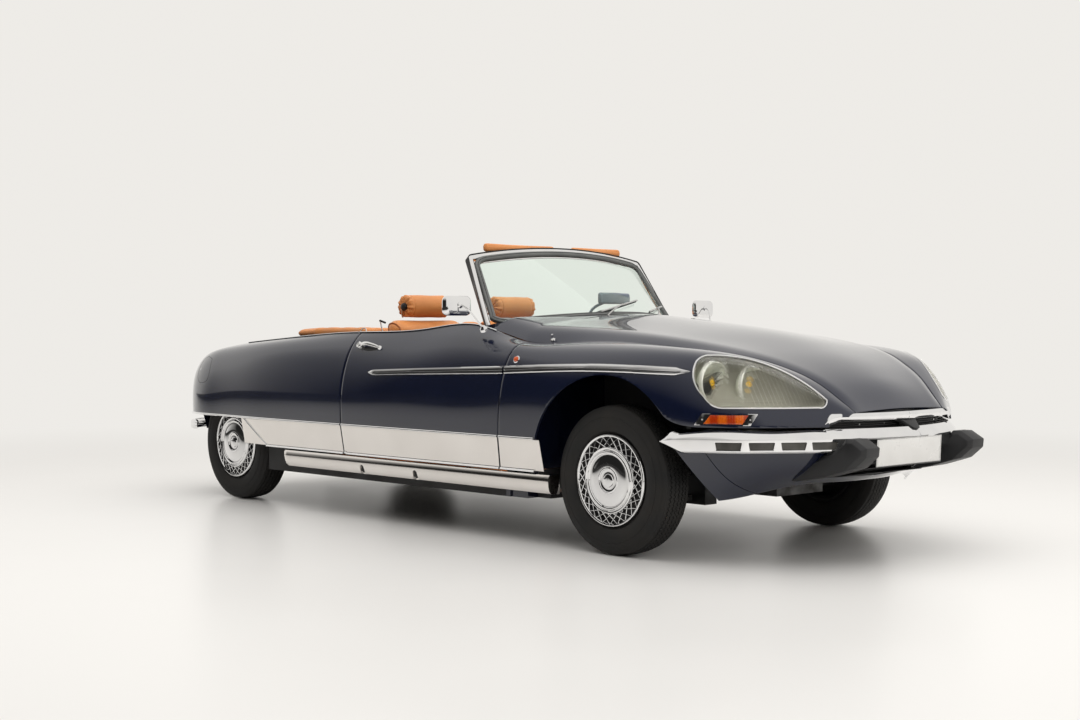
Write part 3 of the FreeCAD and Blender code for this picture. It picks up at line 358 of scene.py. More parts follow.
# ---------------------------------------------------------------- wings, doors and lids
FRONT_LEAN = 0.13        # the front seam leans forwards, per unit of height
REAR_LEAN = 0.08
LATCH_SLANT = 0.12       # the door's rear face runs forwards towards the cabin
DOOR_FRONT = FRONT - 0.66
DOOR_REAR = FRONT - 1.895


def seam(x, lean, slant=0.0):
    """A seam's place as a function of half width and height."""
    return lambda w, z: x + lean * (z - WIDEST) + slant * (HALF - w)


def even(u, v):
    return u, v


def side_skin(name, rear, front, across, up, spread=even, lift=0.0):
    """A right-hand side skin between two seams."""
    def place(u, v):
        u, v = spread(u, v)
        w = np.full_like(u, HALF)
        z = np.full_like(u, WIDEST)
        for _ in range(4):
            x = rear(w, z) + u * (front(w, z) - rear(w, z))
            w, z = skin_point(x, v)
        return x, -w - lift, z
    return outward(laid(name, across, up, place), (0, -1, 0))


# The wheel arch seen from the side: round over the wheel, then sweeping forwards into the hem.
ARCH_RADIUS = 0.46
HEM = 0.585


def around(centre, radius, start, stop, count):
    """Points of a circle in the side view, between two angles in degrees from straight ahead."""
    turns = [math.radians(start + (stop - start) * i / count) for i in range(count + 1)]
    return [(centre + radius * math.cos(t), AXLE + radius * math.sin(t)) for t in turns]


def sweep_forward(start, end, count):
    """The arch's reverse curve: it leaves the circle on its tangent and ends level at the hem."""
    (x0, z0), (x1, z1) = start, end
    radius = math.hypot(x0 - FRONT, z0 - AXLE)
    tangent = ((z0 - AXLE) / radius, -(x0 - FRONT) / radius)
    bend = (x0 + tangent[0] * (z0 - z1) / -tangent[1], z1)
    return [((1 - t) ** 2 * x0 + 2 * t * (1 - t) * bend[0] + t * t * x1, (1 - t) ** 2 * z0 + 2 * t * (1 - t)
        * bend[1] + t * t * z1) for t in (i / count for i in range(1, count + 1))]


ARCH_LEAVES = 42         # degrees above straight ahead
arch_line = around(FRONT, ARCH_RADIUS, 185, ARCH_LEAVES, 60)
arch_line += sweep_forward(arch_line[-1], (FRONT + 0.53, HEM), 14)
arch_outline = ([(FRONT - 0.455, 0.2)] + arch_line + [(FRONT + 1.0, HEM), (FRONT + 1.0, 0.2)])
arch_cutter = prism("arch_cutter", [(x, -1.1, z) for x, z in arch_outline], (0, 1.1, 0))

# The headlamp's opening, as (across, height) from its middle, seen along the lamp's own axis.
LAMP_AXIS = Vector((0.77, -0.64, 0)).normalized()
LAMP_ACROSS = Vector((0.64, 0.77, 0)).normalized()
LAMP_MIDDLE = Vector((FRONT + 0.65, -0.63, BELT - 0.175))


def lamp_point(across, up, ahead=0.0):
    return LAMP_MIDDLE + LAMP_ACROSS * across + Vector((0, 0, up)) + LAMP_AXIS * ahead


def lamp_outline(inset, ahead):
    tip = lamp_point(0.28 - 1.6 * inset, -0.086 + inset, ahead)
    tip_low = lamp_point(0.268 - 1.3 * inset, -0.11 + inset, ahead)
    foot_tip = lamp_point(0.24 - inset, -0.115 + inset, ahead)
    high = lamp_point(-0.185, 0.098 - inset, ahead)
    left_top = lamp_point(-0.247 + 0.7 * inset, 0.074 - 0.7 * inset, ahead)
    left = lamp_point(-0.266 + inset, 0.022, ahead)
    left_low = lamp_point(-0.234 + 0.7 * inset, -0.07 + 0.7 * inset, ahead)
    foot = lamp_point(-0.165, -0.115 + inset, ahead)
    crest = lamp_point(0.09, 0.042 - inset, ahead)
    low_mid = left_low.lerp(foot, 0.45) + Vector((0, 0, -0.013))
    high_mid = left_top.lerp(high, 0.5) + Vector((0, 0, 0.008))
    return (arc(left_low, left, left_top, 14) + arc(left_top, high_mid, high, 6) + arc(high, crest, tip, 30)
        + arc(tip, tip_low, foot_tip, 6) + straight(foot_tip, foot, 20) + arc(foot, low_mid, left_low, 6))


def lamp_cutter(name, inset):
    return prism(name, lamp_outline(inset, -0.35), LAMP_AXIS * 0.7)


SIGNAL_LOW = HEM + 0.012
SIGNAL_HIGH = SIGNAL_LOW + 0.042


def signal_outline(inset, ahead):
    low, high = SIGNAL_LOW + inset, SIGNAL_HIGH - inset
    corners = [(-0.27 + 1.4 * inset, low), (-0.055 - 0.6 * inset, low), (-0.025 - 1.4 * inset, high),
        (-0.24 + 0.6 * inset, high)]
    return [lamp_point(across, z - LAMP_MIDDLE.z, ahead) for across, z in corners]


def wing_spread(u, v):
    """Rows close together at the nose, where the section changes fastest."""
    return 1 - (1 - u) ** 1.15, v


BAR_TOP = HEM + 0.04
fender = side_skin("front_fender_right", seam(DOOR_FRONT + GAP / 2, FRONT_LEAN), seam(FRONT + 0.92, 0), 150,
    64, wing_spread)
fender_surface = BVHTree.FromObject(fender, bpy.context.evaluated_depsgraph_get())
glass_skin = fender.copy()
glass_skin.data = fender.data.copy()
bpy.context.scene.collection.objects.link(glass_skin)
lamp_hole = lamp_cutter("lamp_hole", 0)
signal_hole = prism("signal_hole", signal_outline(0, -0.35), LAMP_AXIS * 0.7)
bar_cutter = block("bar_cutter", (FRONT + 0.865, -0.46, 0.3), (FRONT + 1.0, 0.1, BAR_TOP))
thick(fender, 0.012)
for cutter in (arch_cutter, bar_cutter, lamp_hole, signal_hole):
    cut(fender, cutter)
finished(rounded(fender, 0.0015))

door = side_skin("door_right", seam(DOOR_REAR + GAP / 2, REAR_LEAN, LATCH_SLANT),
    seam(DOOR_FRONT - GAP / 2, FRONT_LEAN), 110, 64)
thick(door, 0.012)
finished(rounded(door, 0.0015))

SKIRT_HEM = 0.49
skirt_x = REAR + 0.255
skirt_cutter = prism("skirt_cutter", [(x, -1.1, z) for x,
    z in ((skirt_x + 1.45 * SKIRT_HEM, 0), (skirt_x, SKIRT_HEM), (REAR - 0.9, SKIRT_HEM), (REAR - 0.9, 0))],
    (0, 1.1, 0))


def tail_spread(u, v):
    return u ** 1.25, v


rear_wing = side_skin("rear_wing_right", seam(REAR - 0.615, 0),
    seam(DOOR_REAR - GAP / 2, REAR_LEAN, LATCH_SLANT), 150, 64, tail_spread)
thick(rear_wing, 0.012)
cut(rear_wing, skirt_cutter)
finished(rounded(rear_wing, 0.0015))


def crown_height(edge, z_edge, z_mid, fullness, w):
    """Height of a lid's arched section at half width w."""
    rise = z_mid - z_edge
    wide = np.stack([-edge, -0.93 * edge, -0.8 * edge, 0 * edge, 0.8 * edge, 0.93 * edge, edge], 1)
    shoulder = z_edge + fullness * rise
    haunch = z_edge + 0.62 * fullness * rise
    high = np.stack([z_edge, haunch, shoulder, z_mid, shoulder, haunch, z_edge], 1)
    return along(wide, high, w)


FULL_X = np.array([FRONT - 0.935, FRONT - 0.66, FRONT - 0.35, FRONT, FRONT + 0.3, FRONT + 0.65, FRONT + 0.92])
FULLNESS = np.array([0.7, 0.62, 0.58, 0.52, 0.48, 0.45, 0.45])
# The bonnet's rear end lies over the cowl, beyond the wings' own rows.
TAIL_X = np.array([FRONT - 0.935, FRONT - 0.8, FRONT - 0.66])
TAIL_EDGE = np.array([[HALF - 0.197, HALF - 0.186, HALF - 0.162], [BELT + 0.04, BELT + 0.01, BELT - 0.021],
    [BELT + 0.148, BELT + 0.129, BELT + 0.108]])
SIDE_GAP = 0.012
SCREEN_CENTRE = FRONT - 0.7 - 1.05
BONNET_ARC = 1.05 + 0.04      # radius of the bonnet's rear edge


def bonnet_point(x, share):
    """A point of the bonnet; share runs from its right edge, -1, to its left edge, 1."""
    m = measures(x)
    gap = np.interp(x, [FRONT - 0.35, FRONT], [SIDE_GAP, GAP])
    edge, z_edge, z_mid = m[5] - gap, m[9], m[10]
    behind = x < DOOR_FRONT
    edge = np.where(behind, np.interp(x, TAIL_X, TAIL_EDGE[0]) - SIDE_GAP * np.interp(x, TAIL_X, [0, 0, 1]),
        edge)
    z_edge = np.where(behind, np.interp(x, TAIL_X, TAIL_EDGE[1]), z_edge)
    z_mid = np.where(behind, np.interp(x, TAIL_X, TAIL_EDGE[2]), z_mid)
    w = share * edge
    return w, crown_height(edge, z_edge, z_mid, np.interp(x, FULL_X, FULLNESS), w)


def bonnet_place(u, v):
    share = np.sin((v - 0.5) * math.pi * 0.98) / math.sin(0.49 * math.pi)
    x = np.full_like(u, FRONT)
    for _ in range(6):
        y, z = bonnet_point(x, share)
        rear = SCREEN_CENTRE + np.sqrt(BONNET_ARC ** 2 - y ** 2)
        x = rear + (1 - (1 - u) ** 1.3) * (FRONT + 0.92 - rear)
    y, z = bonnet_point(x, share)
    return x, y, z


bonnet = outward(laid("bonnet", 140, 90, bonnet_place), (0, 0, 1))
finished(rounded(thick(bonnet, 0.012), 0.0015))

LID_X = REAR + 0.375


def deck_point(x, share):
    m = measures(x)
    edge = m[5] - GAP
    w = share * edge
    return w, crown_height(edge, m[9], m[10], np.full_like(x, 0.4), w)


def lid_place(u, v):
    """The boot lid: its top, a tight round and its upright face."""
    share = 2 * v - 1
    top = np.clip(u / 0.8, 0, 1)
    x = LID_X + (REAR - 0.6 - LID_X) * top
    y, z = deck_point(x, share)
    down = np.clip((u - 0.8) / 0.2, 0, 1)
    foot = SKIRT_HEM + 0.012
    face_y = np.interp(down, [0, 1], [1.0, 0.985]) * y
    bend = np.clip(down / 0.12, 0, 1)
    x = np.where(u > 0.8, REAR - 0.6 - 0.015 * np.sin(bend * math.pi / 2), x)
    drop_by = np.where(down > 0.12, 0.01 + (down - 0.12) / 0.88 * (z - 0.01 - foot), 0.01
        * (1 - np.cos(bend * math.pi / 2)))
    return x, np.where(u > 0.8, face_y, y), z - drop_by


boot_lid = outward(laid("boot_lid", 100, 60, lid_place), (0, 0, 1))
finished(rounded(thick(boot_lid, 0.01), 0.0015))


def strip_place(u, v):
    x = LID_X + GAP + u * (0.15 - GAP)
    y, z = deck_point(x, 2 * v - 1)
    return x, y, z


deck_strip = outward(laid("deck_strip", 12, 60, strip_place), (0, 0, 1))
finished(rounded(thick(deck_strip, 0.01), 0.0015))
drop(arch_cutter, bar_cutter, signal_hole, skirt_cutter)


# ---------------------------------------------------------------- materials
def group_of(name, inputs, outputs):
    """An empty shader group with named sockets."""
    tree = bpy.data.node_groups.new(name, "ShaderNodeTree")
    for label, kind in inputs:
        tree.interface.new_socket(name=label, in_out="INPUT", socket_type="NodeSocket" + kind)
    for label, kind in outputs:
        tree.interface.new_socket(name=label, in_out="OUTPUT", socket_type="NodeSocket" + kind)
    return tree, tree.nodes.new("NodeGroupInput"), tree.nodes.new("NodeGroupOutput")


def node(tree, kind, links=(), **values):
    """A shader node with values for its sockets or settings, and links into its sockets."""
    made = tree.nodes.new("ShaderNode" + kind)
    for key, value in values.items():
        label = key.replace("_", " ")
        if label in made.inputs:
            made.inputs[label].default_value = value
        else:
            setattr(made, key, value)
    for label, source in dict(links).items():
        tree.links.new(source, made.inputs[label])
    return made


def noise(tree, vector, scale, detail=4.0, roughness=0.5):
    return node(tree, "TexNoise", {"Vector": vector}, Scale=scale, Detail=detail, Roughness=roughness)


def spread(tree, source, low, high, to_low=0.0, to_high=1.0):
    made = node(tree, "MapRange", {"Value": source}, From_Min=low, From_Max=high, To_Min=to_low,
        To_Max=to_high)
    return made.outputs[0]


def blend(tree, factor, first, second, socket=None, **settings):
    """A colour between two colours or two other outputs, and where given the socket that it feeds."""
    made = node(tree, "Mix", {"Factor": factor} if factor else {}, data_type="RGBA", **settings)
    for place, value in ((6, first), (7, second)):
        if isinstance(value, tuple):
            made.inputs[place].default_value = rgb(*value)
        else:
            tree.links.new(value, made.inputs[place])
    if socket:
        tree.links.new(made.outputs[2], socket)
    return made


def relief(tree, height, strength, distance, socket):
    """A bump that feeds a socket; strength may be an output."""
    links, values = {"Height": height}, {"Distance": distance}
    (values if isinstance(strength, float) else links)["Strength"] = strength
    made = node(tree, "Bump", links, **values)
    tree.links.new(made.outputs["Normal"], socket)
    return made


def worn_surface():
    """Two tones and two roughnesses, mixed by soft patches, with fine relief."""
    tree, given, out = group_of("worn_surface", (
        ("Tone", "Color"), ("Other Tone", "Color"), ("Smooth", "Float"), ("Rough", "Float"),
        ("Patch Scale", "Float"), ("Grain Scale", "Float"), ("Relief", "Float")), (
        ("Color", "Color"), ("Roughness", "Float"), ("Normal", "Vector")))
    place = node(tree, "TexCoord").outputs["Object"]
    patch = tree.nodes.new("ShaderNodeTexNoise")
    grain = tree.nodes.new("ShaderNodeTexNoise")
    for texture, scale in ((patch, "Patch Scale"), (grain, "Grain Scale")):
        tree.links.new(place, texture.inputs["Vector"])
        tree.links.new(given.outputs[scale], texture.inputs["Scale"])
    patch.inputs["Detail"].default_value = 5
    grain.inputs["Detail"].default_value = 2
    mask = spread(tree, patch.outputs["Fac"], 0.35, 0.7)
    blend(tree, mask, given.outputs["Tone"], given.outputs["Other Tone"], out.inputs["Color"])
    gloss = node(tree, "Mix", data_type="FLOAT")
    tree.links.new(mask, gloss.inputs["Factor"])
    tree.links.new(given.outputs["Smooth"], gloss.inputs[2])
    tree.links.new(given.outputs["Rough"], gloss.inputs[3])
    tree.links.new(gloss.outputs[0], out.inputs["Roughness"])
    relief(tree, grain.outputs["Fac"], given.outputs["Relief"], 0.0004, out.inputs["Normal"])
    return tree


WORN = worn_surface()


def material(name, **sockets):
    """A new material and its Principled shader, with constant sockets set on the shader."""
    made = bpy.data.materials.new(name)
    made.use_nodes = True
    shader = made.node_tree.nodes["Principled BSDF"]
    for key, value in sockets.items():
        shader.inputs[key.replace("_", " ")].default_value = value
    return made, made.node_tree, shader


def rgb(r, g, b):
    return (r, g, b, 1.0)


def worn(name, tone, other, smooth, rough, patch=3.0, grain=400.0, relief=0.1, **sockets):
    """A material with the shared worn surface."""
    made, tree, shader = material(name, **sockets)
    effect = tree.nodes.new("ShaderNodeGroup")
    effect.node_tree = WORN
    for label, value in (("Tone", rgb(*tone)), ("Other Tone", rgb(*other)), ("Smooth", smooth),
            ("Rough", rough), ("Patch Scale", patch), ("Grain Scale", grain), ("Relief", relief)):
        effect.inputs[label].default_value = value
    for source, socket in (("Color", "Base Color"), ("Roughness", "Roughness"), ("Normal", "Normal")):
        tree.links.new(effect.outputs[source], shader.inputs[socket])
    return made


def soft_leather(name, tone, dark):
    """Pebbled leather: fine cells, soft creases and a slow change of tone."""
    made, tree, shader = material(name, Specular_IOR_Level=0.35, Sheen_Weight=0.08, Sheen_Roughness=0.4)
    place = node(tree, "TexCoord").outputs["Object"]
    cells = node(tree, "TexVoronoi", {"Vector": place}, Scale=520.0, feature="DISTANCE_TO_EDGE")
    creases = noise(tree, place, 26.0, 6.0, 0.62)
    slow = noise(tree, place, 5.0, 3.0)
    pebble = spread(tree, cells.outputs["Distance"], 0.0, 0.16)
    tones = blend(tree, spread(tree, slow.outputs["Fac"], 0.2, 0.62), dark, tone)
    pores = blend(tree, None, tones.outputs[2], spread(tree, cells.outputs["Distance"], 0.0, 0.12, 0.8, 1.0),
        shader.inputs["Base Color"], blend_type="MULTIPLY")
    pores.inputs["Factor"].default_value = 1.0
    tree.links.new(spread(tree, creases.outputs["Fac"], 0.3, 0.7, 0.38, 0.55), shader.inputs["Roughness"])
    fine = node(tree, "Bump", {"Height": pebble}, Strength=0.25, Distance=0.0004)
    coarse = node(tree, "Bump", {"Height": creases.outputs["Fac"], "Normal": fine.outputs["Normal"]},
        Strength=0.22, Distance=0.004)
    tree.links.new(coarse.outputs["Normal"], shader.inputs["Normal"])
    return made


def tufted_carpet(name, tone, dark):
    made, tree, shader = material(name, Specular_IOR_Level=0.1, Sheen_Weight=0.3, Roughness=0.95)
    place = node(tree, "TexCoord").outputs["Object"]
    tufts = node(tree, "TexVoronoi", {"Vector": place}, Scale=330.0)
    slow = noise(tree, place, 14.0, 4.0)
    blend(tree, spread(tree, slow.outputs["Fac"], 0.3, 0.7, 0.2, 1.0), dark, tone,
        shader.inputs["Base Color"])
    relief(tree, tufts.outputs["Distance"], 0.8, 0.002, shader.inputs["Normal"])
    return made


def ribbed_glass(name, tone, ribs_per_metre, tilt, strength):
    """Clear glass whose inner face has slanting ribs."""
    made, tree, shader = material(name, Roughness=0.03, Transmission_Weight=1.0, IOR=1.35, Alpha=0.4,
        Base_Color=rgb(*tone))
    place = node(tree, "TexCoord").outputs["Object"]
    turned = node(tree, "Mapping", {"Vector": place})
    turned.inputs["Rotation"].default_value = tilt
    wave = node(tree, "TexWave", {"Vector": turned.outputs["Vector"]}, Scale=ribs_per_metre / 6.283,
        Distortion=0.0, bands_direction="X")
    relief(tree, spread(tree, wave.outputs["Fac"], 0.8, 1.0), strength, 0.001, shader.inputs["Normal"])
    return made


def brushed(name, tone, other, smooth, rough, direction, **sockets):
    """Polished metal with faint drawn lines along one direction."""
    made, tree, shader = material(name, Metallic=1.0, **sockets)
    place = node(tree, "TexCoord").outputs["Object"]
    stretched = node(tree, "Mapping", {"Vector": place})
    stretched.inputs["Scale"].default_value = direction
    lines = noise(tree, stretched.outputs["Vector"], 60.0, 6.0, 0.6)
    slow = noise(tree, place, 2.5, 3.0)
    blend(tree, spread(tree, slow.outputs["Fac"], 0.35, 0.65), tone, other, shader.inputs["Base Color"])
    tree.links.new(spread(tree, lines.outputs["Fac"], 0.3, 0.7, smooth, rough), shader.inputs["Roughness"])
    relief(tree, lines.outputs["Fac"], 0.015, 0.0005, shader.inputs["Normal"])
    return made


paint = worn("navy_paint", (0.0042, 0.0066, 0.0205), (0.005, 0.0078, 0.024), 0.15, 0.22, 1.6, 900.0, 0.004,
    Coat_Weight=1.0, Coat_Roughness=0.015, Coat_IOR=1.5, Specular_IOR_Level=0.3)
inner_paint = worn("inner_black", (0.006, 0.006, 0.007), (0.014, 0.013, 0.012), 0.5, 0.75, 6.0, 300.0, 0.4)
stainless = brushed("bright_stainless", (0.8, 0.77, 0.74), (0.74, 0.71, 0.68), 0.06, 0.16, (0.2, 8.0, 8.0))
chrome = worn("chrome_plate", (0.86, 0.86, 0.86), (0.8, 0.8, 0.81), 0.02, 0.06, 8.0, 500.0, 0.01,
    Metallic=1.0)
satin_chrome = worn("satin_chrome", (0.62, 0.62, 0.61), (0.52, 0.52, 0.52), 0.22, 0.34, 12.0, 700.0, 0.05,
    Metallic=1.0)
black_rubber = worn("moulded_rubber", (0.011, 0.011, 0.012), (0.02, 0.02, 0.021), 0.42, 0.6, 9.0, 900.0, 0.25)
seal_rubber = worn("grey_seal", (0.095, 0.098, 0.095), (0.135, 0.138, 0.132), 0.42, 0.58, 9.0, 700.0, 0.1)
black_plastic = worn("grained_plastic", (0.01, 0.01, 0.011), (0.017, 0.017, 0.018), 0.38, 0.55, 7.0, 1500.0,
    0.35)
tyre_rubber = worn("tyre_rubber", (0.012, 0.012, 0.012), (0.024, 0.022, 0.02), 0.62, 0.85, 7.0, 600.0, 0.3,
    Specular_IOR_Level=0.3)
reflector = worn("lamp_reflector", (0.55, 0.55, 0.52), (0.42, 0.42, 0.4), 0.1, 0.24, 20.0, 400.0, 0.03,
    Metallic=1.0)
cast_metal = worn("cast_metal", (0.1, 0.1, 0.1), (0.055, 0.052, 0.05), 0.45, 0.7, 18.0, 320.0, 0.6,
    Metallic=0.7)
mirror_glass = worn("mirror_glass", (0.8, 0.82, 0.82), (0.78, 0.8, 0.81), 0.01, 0.02, 4.0, 90.0, 0.0,
    Metallic=1.0)
amber = worn("amber_lens", (0.72, 0.1, 0.006), (0.6, 0.07, 0.004), 0.1, 0.18, 60.0, 260.0, 0.35,
    Transmission_Weight=0.25, Coat_Weight=0.6)
red_lens = worn("red_lens", (0.42, 0.01, 0.008), (0.36, 0.008, 0.006), 0.1, 0.18, 60.0, 260.0, 0.35,
    Transmission_Weight=0.2, Coat_Weight=0.6)
# Yellow bulbs with a faint glow though the lamps are off: painted light that brightens the headlamp's inside.
bulb_yellow_painted_glow = worn("yellow_bulb", (0.85, 0.52, 0.02), (0.75, 0.42, 0.02), 0.08, 0.15, 50.0, 200.0, 0.05,
    Emission_Color=rgb(0.85, 0.5, 0.02), Emission_Strength=0.55, Transmission_Weight=0.3)
blank_plate = worn("blank_plate", (0.72, 0.71, 0.69), (0.68, 0.67, 0.65), 0.25, 0.38, 9.0, 500.0, 0.05)
headlining = worn("dark_trim_cloth", (0.03, 0.028, 0.026), (0.042, 0.039, 0.036), 0.8, 0.95, 9.0, 1400.0, 0.5)
tan_leather = soft_leather("tan_leather", (0.7, 0.275, 0.085), (0.6, 0.22, 0.065))
carpet = tufted_carpet("brown_carpet", (0.16, 0.075, 0.035), (0.09, 0.04, 0.02))
screen_glass, _, _ = material("screen_glass", Base_Color=rgb(0.86, 0.95, 0.9), Roughness=0.0,
    Transmission_Weight=1.0, IOR=1.22)
lamp_glass = ribbed_glass("headlamp_glass", (0.8, 0.8, 0.74), 52.0, (0.0, 0.35, -0.69), 0.25)


# ---------------------------------------------------------------- CAD nodes that stay
CARRIED = {
    "platform": inner_paint, "scuttle": paint, "rear_structure": inner_paint, "tail_panel": paint,
    "engine": cast_metal, "suspension_arms": cast_metal, "exhaust": cast_metal,
    "knuckle_right": cast_metal, "knuckle_left": cast_metal, "grille": black_plastic,
    "sills": stainless, "front_bumper": chrome, "rear_bumper": chrome, "grille_bar": chrome,
    "front_valance": paint, "overriders": black_rubber, "windscreen_frame": chrome,
    "windscreen_glass": screen_glass, "headlamps": reflector, "signal_lamps": amber,
    "dashboard": black_plastic, "steering_wheel": black_plastic, "front_seats": tan_leather,
    "headrests": tan_leather, "rear_seat": tan_leather, "roof_cover": tan_leather,
    "sun_visors": tan_leather, "headlamp_glasses": lamp_glass,
    "door_fittings_right": chrome, "door_fittings_left": chrome,
}
for name, obj in frame["nodes"].items():
    finish = CARRIED.get(name, chrome if name.startswith("wheel") else tyre_rubber)
    obj.data.materials.clear()
    obj.data.materials.append(finish)

both(fender, paint, "chassis", ["front_fender_SIDE"])
both(door, paint, "door_SIDE", ["door_SIDE"])
both(rear_wing, paint, "chassis", ["rear_wing_SIDE"])
dress(bonnet, paint, "bonnet", ["bonnet"])
dress(boot_lid, paint, "boot_lid", ["boot_lid"])
dress(deck_strip, paint)


# ---------------------------------------------------------------- wheels
def spun(points, axis, steps):
    """A line through points, spun full round an axis through the origin."""
    bm = bmesh.new()
    row = [bm.verts.new(point) for point in points]
    for a, b in zip(row, row[1:]):
        bm.edges.new((a, b))
    bmesh.ops.spin(bm, geom=bm.verts[:] + bm.edges[:], cent=(0, 0, 0), axis=axis, angle=2 * math.pi,
        steps=steps, use_merge=True)
    bmesh.ops.remove_doubles(bm, verts=bm.verts, dist=1e-5)
    return bm


def turned_profile(name, profile, steps=96):
    """A ring or dish turned about the wheel's axle: rows of (outboard, radius). Outboard is -Y."""
    bm = spun([(0, -out, radius) for out, radius in profile], (0, 1, 0), steps)
    bmesh.ops.recalc_face_normals(bm, faces=bm.faces)
    return shade(keep(bm, name), 35)


def joined(name, pieces):
    """Several objects as one mesh."""
    bm = bmesh.new()
    for piece in pieces:
        bm.from_mesh(piece.data)
    drop(*pieces)
    return keep(bm, name)


def closed_profile(points):
    return points + points[:1]


TYRE_HALF = 0.088
TYRE_ROUND = 200         # steps around a tyre
ZIGZAGS = 100            # turns of the tread's zigzag around a tyre
# Across the tyre: (share of half width, radius, share of the zigzag's swing)
TYRE_SIDE = [(0.66, 0.1905, 0), (0.74, 0.196, 0), (0.76, 0.205, 0), (0.88, 0.214, 0), (0.9, 0.216, 0),
    (0.915, 0.2155, 0), (0.975, 0.232, 0), (1.0, 0.25, 0), (0.995, 0.262, 0), (0.985, 0.272, 0),
    (0.972, 0.2725, 0), (0.97, 0.276, 0), (0.982, 0.277, 0), (0.96, 0.29, 0), (0.92, 0.303, 0),
    (0.905, 0.3045, 0), (0.895, 0.3035, 0), (0.86, 0.3115, 0), (0.8, 0.3195, 0), (0.755, 0.3235, 0)]
GROOVES = (-0.53, -0.265, 0.0, 0.265, 0.53)
GROOVE_HALF = 0.03
GROOVE_DEPTH = 0.008


def crown_radius(share):
    return 0.33 - 0.0075 * abs(share / 0.75) ** 2.5


tread_rows = []
for groove in GROOVES:
    for step, depth in ((-1, 0), (-0.7, 1), (0.7, 1), (1, 0)):
        share = groove + step * GROOVE_HALF
        tread_rows.append((share, crown_radius(share) - depth * GROOVE_DEPTH, 1))
TYRE_ROWS = ([(-s, r, z) for s, r, z in TYRE_SIDE] + [(-0.7, crown_radius(0.7), 0.3)] + tread_rows
    + [(0.7, crown_radius(0.7), 0.3)] + TYRE_SIDE[::-1])
ZIGZAG_SWING = 0.055


def tyre_place(u, v):
    rows = np.array(TYRE_ROWS)[np.round(u * (len(TYRE_ROWS) - 1)).astype(int)]
    step = np.round(v * TYRE_ROUND)
    swing = np.where(step % (TYRE_ROUND / ZIGZAGS) < 0.5, 1, -1) * ZIGZAG_SWING * rows[:, 2]
    turn = step / TYRE_ROUND * 2 * math.pi
    return rows[:, 1] * np.sin(turn), -(rows[:, 0] + swing) * TYRE_HALF, rows[:, 1] * np.cos(turn)


def make_tyre():
    obj = laid("tyre", len(TYRE_ROWS) - 1, TYRE_ROUND, tyre_place)
    bm = bmesh.new()
    bm.from_mesh(obj.data)
    bmesh.ops.remove_doubles(bm, verts=bm.verts, dist=1e-5)
    rims = [e for e in bm.edges if e.is_boundary]
    bmesh.ops.bridge_loops(bm, edges=rims)
    bmesh.ops.recalc_face_normals(bm, faces=bm.faces)
    bm.to_mesh(obj.data)
    bm.free()
    return shade(obj, 28)


RIM = closed_profile(mm((72, 200), (66, 200), (62, 189), (-62, 189), (-66, 200), (-72, 200), (-72, 194),
    (-60, 180), (-20, 176), (20, 173), (32, 150), (36, 100), (30, 50), (24, 48), (24, 21), (60, 21), (60, 90),
    (52, 155), (46, 174), (66, 182), (74, 190)))
OUTER_RING = closed_profile(mm((72, 201), (79, 202.5), (83.5, 200), (85, 196), (84, 191.5), (80, 189),
    (74, 189)))
DOME = closed_profile(mm((70, 146.5), (86, 146.5), (90.5, 144), (92.5, 140), (91.5, 135.5), (88, 132.5),
    (88, 130.5), (91.5, 127.5), (93, 123), (92, 119), (88.5, 116.5), (88, 112), (90, 100), (92, 84), (93, 64),
    (93, 59), (95.5, 57), (96, 54), (94.5, 51), (90.5, 49), (89.5, 46), (90, 34), (90.5, 30), (94, 28),
    (95.5, 24), (96.2, 12), (96.4, 0.4), (80, 0.4), (70, 80)))
WIRES = 26               # lattice wires leaning each way
WIRE_LEAN = math.radians(19)


def make_lattice():
    """Crossed wires between the outer ring and the dome."""
    pieces = []
    for way in (-1, 1):
        for i in range(WIRES):
            turn = 2 * math.pi * i / WIRES
            a = Vector((0.192 * math.sin(turn), -0.079 - 0.0012 * way, 0.192 * math.cos(turn)))
            b_turn = turn + way * WIRE_LEAN
            b = Vector((0.144 * math.sin(b_turn), -0.083 - 0.0012 * way, 0.144 * math.cos(b_turn)))
            bm = bmesh.new()
            bmesh.ops.create_cone(bm, cap_ends=True, segments=6, radius1=0.0019, radius2=0.0019,
                depth=(b - a).length)
            bmesh.ops.rotate(bm, verts=bm.verts, matrix=(b - a).to_track_quat("Z", "Y").to_matrix())
            bmesh.ops.translate(bm, verts=bm.verts, vec=(a + b) / 2)
            pieces.append(keep(bm, "wire"))
    return pieces


def placed_copy(obj, name, at, turn=False):
    """A copy of a piece made at the origin, moved to its place; turned about for the left side."""
    bm = bmesh.new()
    bm.from_mesh(obj.data)
    if turn:
        bmesh.ops.rotate(bm, verts=bm.verts, matrix=Matrix.Rotation(math.pi, 3, "Z"))
    bmesh.ops.translate(bm, verts=bm.verts, vec=Vector(at))
    return shade(keep(bm, name), 30)


tyre = make_tyre()
rim = turned_profile("rim", RIM)
cover = joined("cover", [turned_profile("outer_ring", OUTER_RING, 128), turned_profile("dome", DOME, 128)]
    + make_lattice())
backing = turned_profile("backing", closed_profile(mm((60, 145), (64, 150), (56, 178), (68, 187), (66, 188),
    (53, 179), (56, 145))))
for corner, x, y in (("front_right", FRONT, -FRONT_TRACK), ("front_left", FRONT, FRONT_TRACK),
        ("rear_right", REAR, -REAR_TRACK), ("rear_left", REAR, REAR_TRACK)):
    at = (x, y, AXLE)
    body = "wheel_" + corner
    left = y > 0
    dress(placed_copy(tyre, "tyre_tread_" + corner, at, left), tyre_rubber, body, ["tyre_" + corner])
    dress(placed_copy(rim, "rim_" + corner, at, left), inner_paint, body, ["wheel_" + corner])
    dress(placed_copy(cover, "wheel_cover_" + corner, at, left), chrome, body)
    dress(placed_copy(backing, "cover_shadow_" + corner, at, left), inner_paint, body)
drop(tyre, rim, cover, backing)


